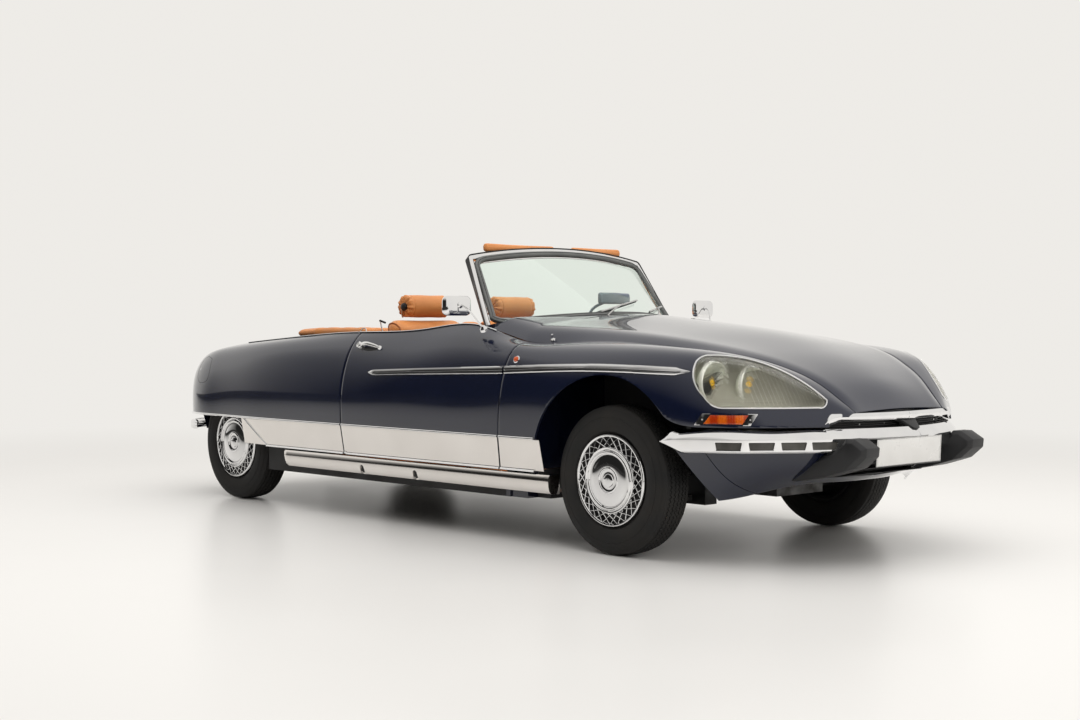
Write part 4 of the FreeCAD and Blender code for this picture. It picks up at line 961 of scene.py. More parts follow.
# ---------------------------------------------------------------- sweeps and tubes
def smooth_path(points, count):
    """Evenly spaced points on the smooth curve through named points."""
    points = np.array([tuple(p) for p in points], float)
    chord = np.concatenate([[0], np.cumsum(np.linalg.norm(np.diff(points, axis=0), axis=1))])
    at = np.linspace(0, chord[-1], count)
    return [Vector(p) for p in np.array([along(chord, column, at) for column in points.T]).T]


def swept(name, path, section, up=(0, 0, 1), loop=False, smooth=35, facing=None):
    """A section of (outward, up) points carried along a path; a function gives one that changes with share.

    facing, where given, is the outward direction at each point of the path."""
    ups = up if isinstance(up, list) else [Vector(up)] * len(path)
    section_at = section if callable(section) else lambda share: section
    rows = len(path)
    tangents = []
    for i in range(rows):
        a = path[(i - 1) % rows] if loop or i else path[0]
        b = path[(i + 1) % rows] if loop or i < rows - 1 else path[-1]
        tangents.append((b - a).normalized())
    bm = bmesh.new()
    rings = []
    for i, (point, tangent) in enumerate(zip(path, tangents)):
        sideways = facing[i] if facing else tangent.cross(ups[i])
        sideways = (sideways - tangent * sideways.dot(tangent)).normalized()
        upright = sideways.cross(tangent).normalized()
        if upright.dot(ups[i]) < 0:
            upright = -upright
        rings.append([bm.verts.new(point + sideways * s + upright * z) for s,
            z in section_at(i / (rows - 1))])
    bridged(bm, rings, () if loop else (0, -1))
    return shade(keep(bm, name), smooth)


def round_section(radius, flat=1.0, count=10):
    return [(radius * math.cos(2 * math.pi * i / count), flat * radius * math.sin(2 * math.pi * i / count))
        for i in range(count)]


def tube(name, path, radius, count=10, loop=False, up=(0, 0, 1)):
    """A round bar; radius may be a function of the share of the way along."""
    section = (lambda share: round_section(radius(share), 1.0,
        count)) if callable(radius) else round_section(radius, 1.0, count)
    return swept(name, path, section, up, loop)


# ---------------------------------------------------------------- headlamps and indicators
def on_surface(tree, points, direction, lift=0.0):
    """Points cast along a direction onto a surface, lifted off it."""
    found = []
    for point in points:
        hit, normal, _, _ = tree.ray_cast(point + direction * 0.6, -direction, 1.6)
        if hit:
            if normal.dot(direction) < 0:
                normal = -normal
            found.append(hit + normal * lift)
    return found


glass_outline = lamp_outline(0.0, 0.0)
rim_path = on_surface(fender_surface, glass_outline, LAMP_AXIS, 0.001)
lamp_rim = swept("headlamp_rim_right", rim_path, round_section(0.0036, 0.9, 8), up=LAMP_AXIS, loop=True)
both(lamp_rim, chrome)

glass_skin.name = "headlamp_glass_right"
thick(glass_skin, 0.003)
lamp_hole_glass = lamp_cutter("lamp_hole_glass", 0.0006)
cut(glass_skin, lamp_hole_glass, "INTERSECT")
finished(glass_skin)
both(glass_skin, lamp_glass, "chassis", ["headlamp_glasses"])

# Thin slanting lines on the inner part of the glass.
plan_edge = [((p - LAMP_MIDDLE).dot(LAMP_ACROSS), p.z - LAMP_MIDDLE.z) for p in glass_outline]
lines = []
for start in np.linspace(-0.085, 0.235, 17):
    top = max([h for a, h in plan_edge if abs(a - start) < 0.012] + [-0.1]) - 0.008
    ends = [(start + (top - h) * 0.32, h) for h in np.linspace(top, -0.104, 16)]
    ends = [(a, h) for a, h in ends if a < 0.262 - (h + 0.11) * 1.1]
    if len(ends) > 3:
        points = on_surface(fender_surface, [lamp_point(a, h) for a, h in ends], LAMP_AXIS, -0.0045)
        lines.append(tube("line", points, 0.0006, 5, up=LAMP_AXIS))
line_finish = worn("lamp_line", (0.62, 0.6, 0.54), (0.55, 0.53, 0.47), 0.4, 0.5, 9.0, 500.0, 0.05)
both(joined("headlamp_lines_right", lines), line_finish)

# The housing behind the glass: a lined tub that follows the opening.
back_ring = on_surface(fender_surface, lamp_outline(0.003, 0.0), LAMP_AXIS, -0.006)
middle = sum(back_ring, Vector()) / len(back_ring)
bm = bmesh.new()
rings = []
for depth, shrink in ((0.0, 1.0), (0.055, 0.97), (0.095, 0.9), (0.115, 0.8)):
    rings.append([bm.verts.new(middle + (p - middle) * shrink - LAMP_AXIS * depth) for p in back_ring])
bridged(bm, rings, (-1,))
tub = keep(bm, "headlamp_tub_right")
thick(tub, 0.002, 1)
finished(tub)
tub_finish = worn("lamp_housing", (0.4, 0.39, 0.33), (0.34, 0.33, 0.28), 0.34, 0.48, 14.0, 500.0, 0.05)
both(tub, tub_finish)


def dished(name, profile, at, axis=(1, 0, 0), steps=64):
    """A round piece turned about an axis: rows of (ahead, radius)."""
    bm = spun([(radius, 0, ahead) for ahead, radius in profile], (0, 0, 1), steps)
    turn = Vector(axis).to_track_quat("Z", "Y").to_matrix()
    bmesh.ops.rotate(bm, verts=bm.verts, matrix=turn)
    bmesh.ops.translate(bm, verts=bm.verts, vec=Vector(at))
    bmesh.ops.recalc_face_normals(bm, faces=bm.faces)
    return shade(keep(bm, name), 35)


def bowl(radius):
    """A parabolic reflector with a rolled chrome edge, as a closed wall."""
    inside = [(0.0, radius * 0.95)] + [(-0.85 * radius * (1 - s * s), radius * 0.95 * s)
        for s in (0.85, 0.7, 0.55, 0.4, 0.25, 0.12, 0.0005)]
    outside = [(-0.9 * radius, 0.0005), (-0.75 * radius, 0.45 * radius), (-0.35 * radius, 0.85 * radius),
        (-0.05 * radius, radius), (0.004, radius), (0.006, radius * 0.975)]
    return closed_profile(inside + outside)


LAMPS = ((FRONT + 0.47, -0.7, 0.764, 0.087), (FRONT + 0.56, -0.56, 0.752, 0.081))
shells, bulbs, rings, vanes = [], [], [], []
for x, y, z, radius in LAMPS:
    shells.append(dished("bowl", bowl(radius), (x, y, z)))
    bulbs.append(dished("bulb", closed_profile(mm((0, 0.4), (-4, 10), (-14, 16), (-32, 16), (-46, 8),
        (-50, 0.4))), (x, y, z), steps=24))
    rings.append(dished("ring", closed_profile([(0.004, radius * 0.94), (0.01, radius * 0.955),
        (0.012, radius * 0.99), (0.008, radius * 1.04), (-0.006, radius * 1.05), (-0.006, radius * 0.96)]),
        (x, y, z)))
    shade_at = Vector((x - 0.012, y, z))
    for turn in (-24, 24):
        out = Vector((0, math.cos(math.radians(turn)), math.sin(math.radians(turn))))
        vanes.append(swept("vane", [shade_at + out * 0.018, shade_at + out * radius * 0.8],
            lambda share: [(0.008, 0.001 + 0.009 * share), (0.008, -0.001 - 0.009 * share),
            (-0.002, -0.001 - 0.009 * share), (-0.002, 0.001 + 0.009 * share)], facing=[Vector((1, 0, 0))]
            * 2))
# The bowls glow faintly though the lamps are off: painted light standing in for light that reaches them
# through the glass.
bowl_tone_and_painted_glow = worn("lamp_bowl", (0.7, 0.72, 0.62), (0.6, 0.62, 0.52), 0.16, 0.3, 24.0, 400.0, 0.03,
    Metallic=0.35, Emission_Color=rgb(0.6, 0.62, 0.5), Emission_Strength=0.22)
both(joined("headlamp_bowls_right", shells), bowl_tone_and_painted_glow, "chassis", ["headlamps"])
both(joined("headlamp_bulbs_right", bulbs), bulb_yellow_painted_glow)
# The rings and the vanes glow faintly though the lamps are off: painted light inside the headlamp.
ring_tone_and_painted_glow = worn("lamp_ring", (0.8, 0.8, 0.76), (0.7, 0.7, 0.66), 0.2, 0.34, 20.0, 400.0, 0.03,
    Metallic=0.4, Emission_Color=rgb(0.7, 0.7, 0.62), Emission_Strength=0.16)
both(joined("headlamp_rings_right", rings), ring_tone_and_painted_glow)
both(joined("headlamp_vanes_right", vanes), ring_tone_and_painted_glow)

# Indicator: a bright slanted bezel round a ribbed amber lens, with a screw at each end.
signal_edge = on_surface(fender_surface, signal_outline(-0.0035, 0.0), LAMP_AXIS, 0.0)


def slab(name, corners, out, inward, edge=0.001):
    """A plate through corners lying on a surface, from inward behind it to out in front."""
    obj = prism(name, [p - LAMP_AXIS * inward for p in corners], LAMP_AXIS * (inward + out))
    return finished(rounded(obj, edge, 2, 40))


bezel = slab("indicator_bezel_right", signal_edge, 0.006, 0.012, 0.0015)
lens_at = [signal_edge[0].lerp(signal_edge[1], 0.16), signal_edge[0].lerp(signal_edge[1], 0.86),
    signal_edge[3].lerp(signal_edge[2], 0.84), signal_edge[3].lerp(signal_edge[2], 0.14)]
lens_mid = sum(lens_at, Vector()) / 4
lens_ring = [lens_mid + (p - lens_mid) * 0.99 + Vector((0, 0, (p.z - lens_mid.z) * -0.22)) for p in lens_at]
hole = prism("bezel_hole", [p - LAMP_AXIS * 0.05 for p in lens_ring], LAMP_AXIS * 0.1)
cut(bezel, hole)
finished(bezel)
lens = slab("indicator_lens_right", [lens_mid + (p - lens_mid) * 0.985 for p in lens_ring], 0.008, 0.012,
    0.0018)
amber_ribbed = material("ribbed_amber", Roughness=0.12, Transmission_Weight=0.35, Coat_Weight=0.5)
amber_tree, amber_shader = amber_ribbed[1:]
place = node(amber_tree, "TexCoord").outputs["Object"]
turned = node(amber_tree, "Mapping", {"Vector": place})
turned.inputs["Rotation"].default_value = (0, 0, -LAMP_ACROSS.angle(Vector((1, 0, 0))))
ribs = node(amber_tree, "TexWave", {"Vector": turned.outputs["Vector"]}, Scale=30.0, bands_direction="X")
panes = node(amber_tree, "TexWave", {"Vector": turned.outputs["Vector"]}, Scale=4.6, bands_direction="X")
blend(amber_tree, spread(amber_tree, panes.outputs["Fac"], 0.25, 0.75), (0.52, 0.045, 0.004),
    (0.85, 0.16, 0.008), amber_shader.inputs["Base Color"])
relief(amber_tree, ribs.outputs["Fac"], 0.5, 0.001, amber_shader.inputs["Normal"])
both(bezel, chrome, "chassis", ["signal_lamps"])
both(lens, amber_ribbed[0])
screws = []
for share in (0.075, 0.925):
    low = signal_edge[0].lerp(signal_edge[1], share)
    high = signal_edge[3].lerp(signal_edge[2], share)
    screws.append(dished("screw", closed_profile(mm((5.5, 0.4), (8.5, 0.4), (8, 2.5), (5.5, 4))),
        low.lerp(high, 0.5), LAMP_AXIS, 20))
both(joined("indicator_screws_right", screws), satin_chrome)
drop(lamp_hole, lamp_hole_glass, hole)


# ---------------------------------------------------------------- front bumper
def mix(a, b, share):
    return a + (b - a) * min(1.0, max(0.0, share))


NOSE_PLAN = mm((330, 885), (500, 868), (650, 795), (790, 640), (900, 470), (985, 240), (1025, 2))
nose_path = smooth_path([(FRONT + x, -w, 0) for x, w in NOSE_PLAN], 90)
RIDGE, BUMPER_TOP, BUMPER_LOW = 0.5375, 0.579, 0.48
BUMPER_FACE = [(-0.062, 1.0), (-0.032, 0.93), (-0.007, 0.28), (0.0, 0.0), (-0.001, -0.15), (-0.005, -0.86),
    (-0.013, -0.99), (-0.06, -1.0)]


def bumper_section(share):
    """The face and its inner side; both edges run in to the ridge at the bumper's rear end."""
    top = mix(0.1, 1.0, share / 0.035) * (BUMPER_TOP - RIDGE)
    low = mix(0.06, 1.0, share / 0.085) * (RIDGE - BUMPER_LOW)
    ridge = RIDGE - 0.016 * (1 - mix(0.0, 1.0, share / 0.2)) ** 2
    reach = mix(0.25, 1.0, share / 0.05)
    face = [(s * reach, ridge + r * (top if r > 0 else low)) for s, r in BUMPER_FACE]
    wall = 0.0035
    back = [(s * reach - wall * (1 if -0.9 < r < 0.9 else 0), ridge + r * (top if r > 0 else low) - wall
        * (1 if r > 0.5 else -1 if r < -0.5 else 0) * reach) for s, r in reversed(BUMPER_FACE)]
    return face + back


SLOTS = (((0.584, 0.827), (0.676, 0.766)), ((0.693, 0.748), (0.766, 0.666)), ((0.783, 0.648), (0.844, 0.556)),
    ((0.855, 0.539), (0.912, 0.439)))
bumper = swept("front_bumper_right", nose_path, bumper_section, smooth=30)
slot_cutters = []
for (x0, w0), (x1, w1) in SLOTS:
    start, end = Vector((FRONT + x0, -w0, 0)), Vector((FRONT + x1, -w1, 0))
    run = (end - start).normalized()
    out = run.cross(Vector((0, 0, 1)))
    corners = [start + Vector((0, 0, 0.526)), end + Vector((0, 0, 0.526)), end - run * 0.007
        + Vector((0, 0, 0.494)), start + run * 0.006 + Vector((0, 0, 0.494))]
    slot_cutters.append(rounded(prism("slot", [c - out * 0.05 for c in corners], out * 0.1), 0.004, 3, 50))
for cutter in slot_cutters:
    cut(bumper, cutter)
finished(rounded(bumper, 0.0012, 2, 32))
both(bumper, chrome, "chassis", ["front_bumper"])
backing = swept("bumper_backing_right", nose_path[18:], mm((-10, 532), (-10, 489), (-14, 489), (-14, 532)))
slot_grey = worn("slot_grey", (0.085, 0.08, 0.072), (0.05, 0.047, 0.042), 0.45, 0.62, 18.0, 600.0, 0.08)
both(backing, slot_grey)
drop(*slot_cutters)

# Bumper horns: black rubber, faceted, under and ahead of the bar.
HORN = mm((640, 352), (720, 350), (860, 378), (1000, 420), (1056, 468), (1060, 505), (1000, 540), (958, 540),
    (925, 500), (700, 405))
HORN_MIDDLE, HORN_HALF = 0.4, 0.062
horn = prism("overrider_right", [(FRONT + x, -HORN_MIDDLE - HORN_HALF, z) for x, z in HORN],
    (0, 2 * HORN_HALF, 0))
bm = bmesh.new()
bm.from_mesh(horn.data)
ledge = [e for e in bm.edges if abs(e.verts[0].co.y - e.verts[1].co.y) < 1e-5
    and max(v.co.x for v in e.verts) > FRONT + 0.86 and max(v.co.z for v in e.verts) > 0.43]
bmesh.ops.bevel(bm, geom=ledge, offset=0.017, offset_type="OFFSET", segments=1, profile=0.5, affect="EDGES",
    material=-1)
bm.to_mesh(horn.data)
bm.free()
finished(rounded(horn, 0.003, 3, 12), 40)
both(horn, black_rubber, "chassis", ["overriders"])

# ---------------------------------------------------------------- bar under the bonnet and the intake
BAR_PLAN = mm((866, 470), (890, 425), (925, 320), (943, 240), (955, 160), (962, 80), (966, 0.5))
bar_path = smooth_path([(FRONT + x, -w, 0) for x, w in BAR_PLAN], 60)


def bar_section(share):
    high = mix(0.604, 0.64, share / 0.06)
    low = mix(0.584, 0.607, (share - 0.02) / 0.12)
    reach = mix(0.01, 0.034, share / 0.06)
    front = mix(0.01, 0.004, share / 0.2)
    return [(front - reach, high), (front - 0.006, high - 0.001), (front, (high + low) / 2 + 0.003),
        (front - 0.005, low), (front - reach, low + 0.002)]


bar = finished(rounded(swept("grille_bar_right", bar_path, bar_section, smooth=25), 0.0015, 2, 25))
both(bar, chrome, "chassis", ["grille_bar"])

intake_path = smooth_path([(FRONT + x - 0.045, -w, 0) for x, w in BAR_PLAN[1:]], 40)
slats = [swept("slat", intake_path, [(0.004 * k, z), (0.012 + 0.004 * k, z + 0.001),
    (0.012 + 0.004 * k, z + 0.003), (0.004 * k, z + 0.004)]) for k,
    z in enumerate((0.6, 0.592, 0.584, 0.576))]
slats.append(swept("slat", intake_path, mm((-12, 545), (-8, 545), (-8, 656), (-12, 656))))
both(joined("intake_slats_right", slats), black_plastic, "chassis", ["grille"])
beak = prism("bumper_beak", [(FRONT + 0.948, -0.09, 0.609), (FRONT + 0.966, -0.05, 0.6),
    (FRONT + 1.006, -0.022, 0.57), (FRONT + 1.012, 0.0, 0.566), (FRONT + 1.006, 0.022, 0.57),
    (FRONT + 0.966, 0.05, 0.6), (FRONT + 0.948, 0.09, 0.609)], (-0.04, 0, -0.012))
dress(finished(rounded(beak, 0.002, 2, 20)), black_plastic)
screws = [dished("screw", closed_profile(mm((0, 0.4), (0, 4), (3, 3.5), (4, 0.4))), (FRONT + 0.905, y, 0.59),
    (1, 0, 0), 16) for y in (-0.28, -0.1)]
both(joined("intake_screws_right", screws), satin_chrome)

# ---------------------------------------------------------------- valance and number plate
VALANCE_TOP = mm((372, 852), (520, 828), (650, 752), (780, 606), (870, 446), (920, 234), (940, 0))
VALANCE_FOOT = mm((490, 690), (530, 640), (580, 560), (640, 450), (700, 330), (740, 170), (750, 0))
top_line = smooth_path([(FRONT + x, -w, 0.502) for x, w in VALANCE_TOP], 81)
foot_line = smooth_path([(FRONT + x, -w, mix(0.332, 0.268, (w - 0.38) / 0.3)) for x, w in VALANCE_FOOT], 81)


def valance_place(u, v):
    """From the foot line, v 0, to the top line, v 1, with a full belly between."""
    column = np.clip((u * 80).round().astype(int), 0, 80)
    high = np.array([tuple(top_line[k]) for k in column])
    low = np.array([tuple(foot_line[k]) for k in column])
    v = v[:, None]
    point = low + (high - low) * v
    belly = np.sin(np.pi * v[:, 0]) * 0.03
    return point[:, 0] + belly * 0.75, point[:, 1] - belly * (1 - u) * 0.65, point[:, 2] - belly * 0.35


LINER = mm((-420, 360), (350, 360), (400, 560), (400, 740), (150, 800), (-420, 830))
valance = laid("front_valance_right", 80, 24, valance_place)
outward(valance, (FRONT + 3, -1.5, 0))
thick(valance, 0.004)
groove = prism("valance_groove", [(FRONT + 0.508, -1.0, 0.515), (FRONT + 0.5115, -1.0, 0.515),
    (FRONT + 0.6015, -1.0, 0.255), (FRONT + 0.598, -1.0, 0.255)], (0, 0.6, 0))
mouth = prism("valance_mouth", [(FRONT + 0.5, -0.3, 0.362), (FRONT + 0.5, -0.272, 0.432),
    (FRONT + 0.5, 0.05, 0.44), (FRONT + 0.5, 0.05, 0.352)], (0.6, 0, 0))
cut(valance, rounded(mouth, 0.02, 4, 40))
cut(valance, groove)
finished(rounded(valance, 0.001))
both(valance, paint, "chassis", ["front_valance"])
drop(groove, mouth)
liner = prism("wing_liner_wall", [(FRONT + x, -0.44, z) for x, z in LINER], (0, 0.004, 0))
shelf = prism("wing_liner_shelf", [(FRONT - 0.42, -0.436, 0.806), (FRONT + 0.34, -0.436, 0.798),
    (FRONT + 0.34, -0.8, 0.798), (FRONT - 0.42, -0.855, 0.806)], (0, 0, 0.004))
both(finished(rounded(joined("wing_liner_right", [liner, shelf]), 0.001)), inner_paint)
ducts = [block("duct", (FRONT + 0.76, -0.3, z), (FRONT + 0.835, -0.0005, z + 0.004))
    for z in (0.366, 0.388, 0.41, 0.432)]
ducts.append(block("duct", (FRONT + 0.7, -0.31, 0.345), (FRONT + 0.704, -0.0005, 0.45)))
both(finished(rounded(joined("duct_blades_right", ducts), 0.0012)), black_plastic)

PLATE_X, PLATE_MIDDLE, PLATE_LOW, PLATE_HALF, PLATE_TALL = FRONT + 1.032, -0.1, 0.423, 0.238, 0.112
plate_corners = [Vector((PLATE_X + 0.05 * z, PLATE_MIDDLE + y, PLATE_LOW + z)) for y,
    z in ((-PLATE_HALF, 0), (PLATE_HALF, 0), (PLATE_HALF, PLATE_TALL), (-PLATE_HALF, PLATE_TALL))]
plate = rounded(prism("front_plate", plate_corners, (-0.0025, 0, 0)), 0.0008)
dress(finished(plate), blank_plate)
plate_mid = sum(plate_corners, Vector()) / 4
inner = [plate_mid + (p - plate_mid) * 0.975 for p in plate_corners]
rim_path = [a.lerp(b, k / 12) for a, b in zip(inner, inner[1:] + inner[:1]) for k in range(12)]
plate_rim = swept("front_plate_rim", rim_path, mm((1, -0.6), (1, 0.8), (-1, 0.8), (-1, -0.6)), (1, 0, 0),
    loop=True)
dress(plate_rim, satin_chrome)
holder = soft_block("plate_holder", (FRONT + 1.0275, PLATE_MIDDLE - 0.243, 0.418),
    (FRONT + 1.0315, PLATE_MIDDLE + 0.243, 0.52), 0.0015, 2, 40)
dress(holder, black_plastic)
stays = [block("stay", (FRONT + 0.9, y - 0.012, 0.43), (FRONT + 1.03, y + 0.012, 0.438))
    for y in (-0.22, 0.02)]
dress(finished(rounded(joined("plate_stays", stays), 0.001)), black_plastic)


# ---------------------------------------------------------------- trim along the sides
def tree_of(*objs):
    """A tree of one or more finished pieces, to lay trim on."""
    bm = bmesh.new()
    for obj in objs:
        bm.from_mesh(obj.data)
    tree = BVHTree.FromBMesh(bm)
    bm.free()
    return tree


def on_side(tree, x, z):
    """Where a line from the right-hand side meets a panel, and the way the panel faces there."""
    hit, normal, _, _ = tree.ray_cast(Vector((x, -1.4, z)), Vector((0, 1, 0)))
    if hit is None or hit.y > -0.5:
        hit, normal, _, _ = tree.find_nearest(Vector((x, -0.88, z)))
    return hit, normal if normal.y < 0 else -normal


def strip_on(name, tree, stations, count, section):
    """A moulding laid on a side panel along (x, z) stations."""
    line = smooth_path([(x, 0, z) for x, z in stations], count)
    met = [on_side(tree, p.x, p.z) for p in line]
    return swept(name, [hit for hit, _ in met], section, smooth=30, facing=[n for _, n in met])


door_tree, wing_tree, fender_tree = tree_of(door), tree_of(rear_wing), tree_of(fender)

STRIP = mm((-2, 19), (4, 17.5), (9.5, 12), (10.5, 3), (9.5, -3), (6.2, -5), (6, -9.5), (8.5, -11.5),
    (7.5, -16), (3, -19), (-2, -19))


def strip_section(tall_first, tall_last, tip_first, tip_last):
    """The side strip's section: its height runs from one end to the other, and an end may draw to a point."""
    def section(share):
        tall = mix(tall_first, tall_last, share)
        at = min(mix(0.12, 1, share / tip_first) if tip_first else 1, mix(0.12, 1, (1 - share) / tip_last)
            if tip_last else 1)
        return [(o * (0.35 + 0.65 * at), u * tall * at) for o, u in STRIP]
    return section


SIDE_LINE = mm((-287.6, 768), (100, 781.5), (450, 792), (734.5, 800.5))
door_strip = strip_on("side_strip_door_right", door_tree, SIDE_LINE, 70,
    strip_section(0.8, 1.0, 0.035, 0))
fender_strip = strip_on("side_strip_wing_right", fender_tree,
    ((0.7475, 0.8015), (1.0, 0.812), (1.34, 0.82), (1.6, 0.8165), (1.815, 0.8105)), 70,
    strip_section(1.0, 1.04, 0, 0.06))
both(door_strip, chrome, "door_SIDE")
both(fender_strip, chrome)
GROOVE = mm((5, -5.2), (6.8, -5.2), (6.6, -9.2), (5, -9.2))
both(strip_on("side_groove_door_right", door_tree, [(-0.25, 0.7692)] + SIDE_LINE[1:], 60, GROOVE),
    black_rubber, "door_SIDE")
both(strip_on("side_groove_wing_right", fender_tree, ((0.7475, 0.8015), (1.0, 0.812), (1.34, 0.82),
    (1.6, 0.8165), (1.775, 0.8118)), 60, GROOVE), black_rubber)

# Bright cladding on the lower rows of the three side panels.
CLAD_LIFT = 0.003


def clad_rows(u, v):
    return u, 0.012 + v * (CLAD_SHARE - 0.016)


def cladding(name, rear, front, across, cutter=None):
    skin = side_skin(name, rear, front, across, 14, clad_rows, CLAD_LIFT)
    thick(skin, 0.0025)
    if cutter:
        cut(skin, cutter)
        drop(cutter)
    return finished(rounded(skin, 0.0009, 2, 40))


CLAD_GAP = 0.005
arch_clear = [(x - 0.008, z) for x, z in around(FRONT, ARCH_RADIUS, 190, 120, 30)]
arch_clear = prism("arch_clear", [(x, -1.1, z) for x, z in [(FRONT - 0.48, 0.2)] + arch_clear
    + [(FRONT + 0.4, 0.7), (FRONT + 0.4, 0.2)]], (0, 1.1, 0))
front_clad = cladding("cladding_front_right", seam(DOOR_FRONT + CLAD_GAP, FRONT_LEAN), seam(FRONT - 0.4, 0),
    20, arch_clear)
door_clad = cladding("cladding_door_right", seam(DOOR_REAR + CLAD_GAP, REAR_LEAN),
    seam(DOOR_FRONT - CLAD_GAP, FRONT_LEAN), 60)
slant_clear = prism("slant_clear", [(x, -1.1, z) for x, z in ((skirt_x + 0.01 + 1.45 * SKIRT_HEM, 0),
    (skirt_x + 0.01 - 0.145, SKIRT_HEM + 0.1), (REAR - 0.9, SKIRT_HEM + 0.1), (REAR - 0.9, 0))], (0, 1.1, 0))
rear_clad = cladding("cladding_rear_right", seam(REAR + 0.24, 0), seam(DOOR_REAR - CLAD_GAP, REAR_LEAN), 50,
    slant_clear)
both(front_clad, stainless)
both(door_clad, stainless, "door_SIDE")
both(rear_clad, stainless)

BEAD = mm((-2, 6.2), (3.5, 5.8), (6.8, 3), (7.5, 0), (6, -3.8), (3, -6), (-2, -6.2))
LEDGE = mm((-2, 5), (6, 4.6), (10, 1.5), (9.8, -4), (6, -7), (-4, -7.2))


def lean(x, factor, z):
    return x + factor * (z - WIDEST)


CLAD_TOP, CLAD_FOOT = 0.4915, 0.3425
door_ends = [(lean(DOOR_REAR + CLAD_GAP, REAR_LEAN, z), lean(DOOR_FRONT - CLAD_GAP, FRONT_LEAN, z))
    for z in (CLAD_TOP, CLAD_FOOT)]
wing_end = [lean(DOOR_REAR - CLAD_GAP, REAR_LEAN, z) for z in (CLAD_TOP, CLAD_FOOT)]
fender_end = [lean(DOOR_FRONT + CLAD_GAP, FRONT_LEAN, z) for z in (CLAD_TOP, CLAD_FOOT)]
for name, tree, body, top, foot in (("door", door_tree, "door_SIDE", door_ends[0], door_ends[1]),
        ("rear", wing_tree, "chassis", (REAR - 0.6, wing_end[0]), (skirt_x + 0.218, wing_end[1])),
        ("front", fender_tree, "chassis", (fender_end[0], FRONT - 0.437), (fender_end[1], FRONT - 0.462))):
    both(strip_on(f"cladding_bead_{name}_right", tree, [(top[0], CLAD_TOP), (sum(top) / 2, CLAD_TOP),
        (top[1], CLAD_TOP)], 60, BEAD), chrome, body)
    both(strip_on(f"cladding_ledge_{name}_right", tree, [(foot[0], CLAD_FOOT), (sum(foot) / 2, CLAD_FOOT),
        (foot[1], CLAD_FOOT)], 60, LEDGE), chrome, body)
slant_line = [(skirt_x + 0.009 + 1.45 * (SKIRT_HEM - z), z) for z in (0.484, 0.41, 0.346)]
both(strip_on("cladding_slant_right", wing_tree, slant_line, 14, BEAD), chrome)

# Sills: a bright rounded member with a jack opening at each end of the door.
SILL = mm((30, 330), (52, 328), (60, 318), (62, 300), (60.5, 276), (55, 256), (44, 243), (28, 239.5),
    (-10, 239.5), (-10, 330))
sill_path = [Vector((x, -0.8, 0)) for x in np.linspace(-1.083, 1.012, 60)]
sill = swept("sill_right", sill_path, SILL)
sill_notches = []
for x in (-0.372, 0.06):
    outline = [(x - 0.028, 0.2), (x - 0.02, 0.262)]
    outline += [(x - 0.004 + 0.018 * math.cos(a), 0.272 + 0.018 * math.sin(a))
        for a in np.linspace(math.pi * 0.9, -0.1, 10)]
    outline += [(x + 0.016, 0.262), (x + 0.008, 0.2)]
    sill_notches.append(prism("notch", [(px, -0.9, pz) for px, pz in outline], (0, 0.065, 0)))
sill_end = prism("sill_end", [(-1.2, -0.95, 0.4), (-1.078, -0.95, 0.335), (-1.052, -0.95, 0.22),
    (-1.2, -0.95, 0.22)], (0, 0.3, 0))
for cutter in sill_notches + [sill_end]:
    cut(sill, cutter)
both(finished(rounded(sill, 0.0012, 2, 40)), stainless, "chassis", ["sills"])
sockets = []
for x in (-0.372, 0.06):
    sockets.append(dished("socket", closed_profile(mm((0, 0.4), (0, 16), (4, 19), (6, 19), (6, 0.4))),
        (x - 0.004, -0.8385, 0.268), (0, -1, 0), 24))
both(joined("jack_sockets_right", sockets), black_rubber)
drop(sill_end, *sill_notches)


# Thin bright bead along the belt, on the edge of the cabin's opening.
BELT_SHARE = 0.985


def belt_line(x0, x1, count):
    x = np.linspace(x0, x1, count)
    w, z = side_point(x, np.full(count, BELT_SHARE))
    return [Vector((a, -b, c)) for a, b, c in zip(x, w, z)]


belt_up = (0, -0.45, 0.9)
BELT_BEAD = [(0.0042 * math.cos(a), 0.0032 + 0.0036 * math.sin(a))
    for a in np.linspace(0, 2 * math.pi, 9)[:-1]]
both(swept("belt_bead_door_right", belt_line(DOOR_REAR + 0.03, DOOR_FRONT - 0.175, 60), BELT_BEAD, belt_up),
    chrome, "door_SIDE")
both(swept("belt_bead_wing_right", belt_line(REAR + 0.1, DOOR_REAR + 0.018, 60), BELT_BEAD, belt_up), chrome)

# ---------------------------------------------------------------- door handle, mirror, repeater, flap
HANDLE_LINE = mm((-405, 902), (-335, 901.5), (-245, 893))
handle_line = smooth_path([(x, 0, z) for x, z in HANDLE_LINE], 40)
met = [on_side(door_tree, p.x, p.z) for p in handle_line]
handle_path = [hit + n * (0.006 + 0.024 * math.sin(math.pi * min(1, k / 39 * 1.02)) ** 0.7) for k,
    (hit, n) in enumerate(met)]


def handle_section(share):
    wide = 0.0065 * mix(1.15, 0.75, share)
    tall = mix(0.0125, 0.0075, share) * mix(0.5, 1, share / 0.05) * mix(0.35, 1, (1 - share) / 0.1)
    return [(wide * math.cos(a), tall * math.sin(a)) for a in np.linspace(0, 2 * math.pi, 15)[:-1]]


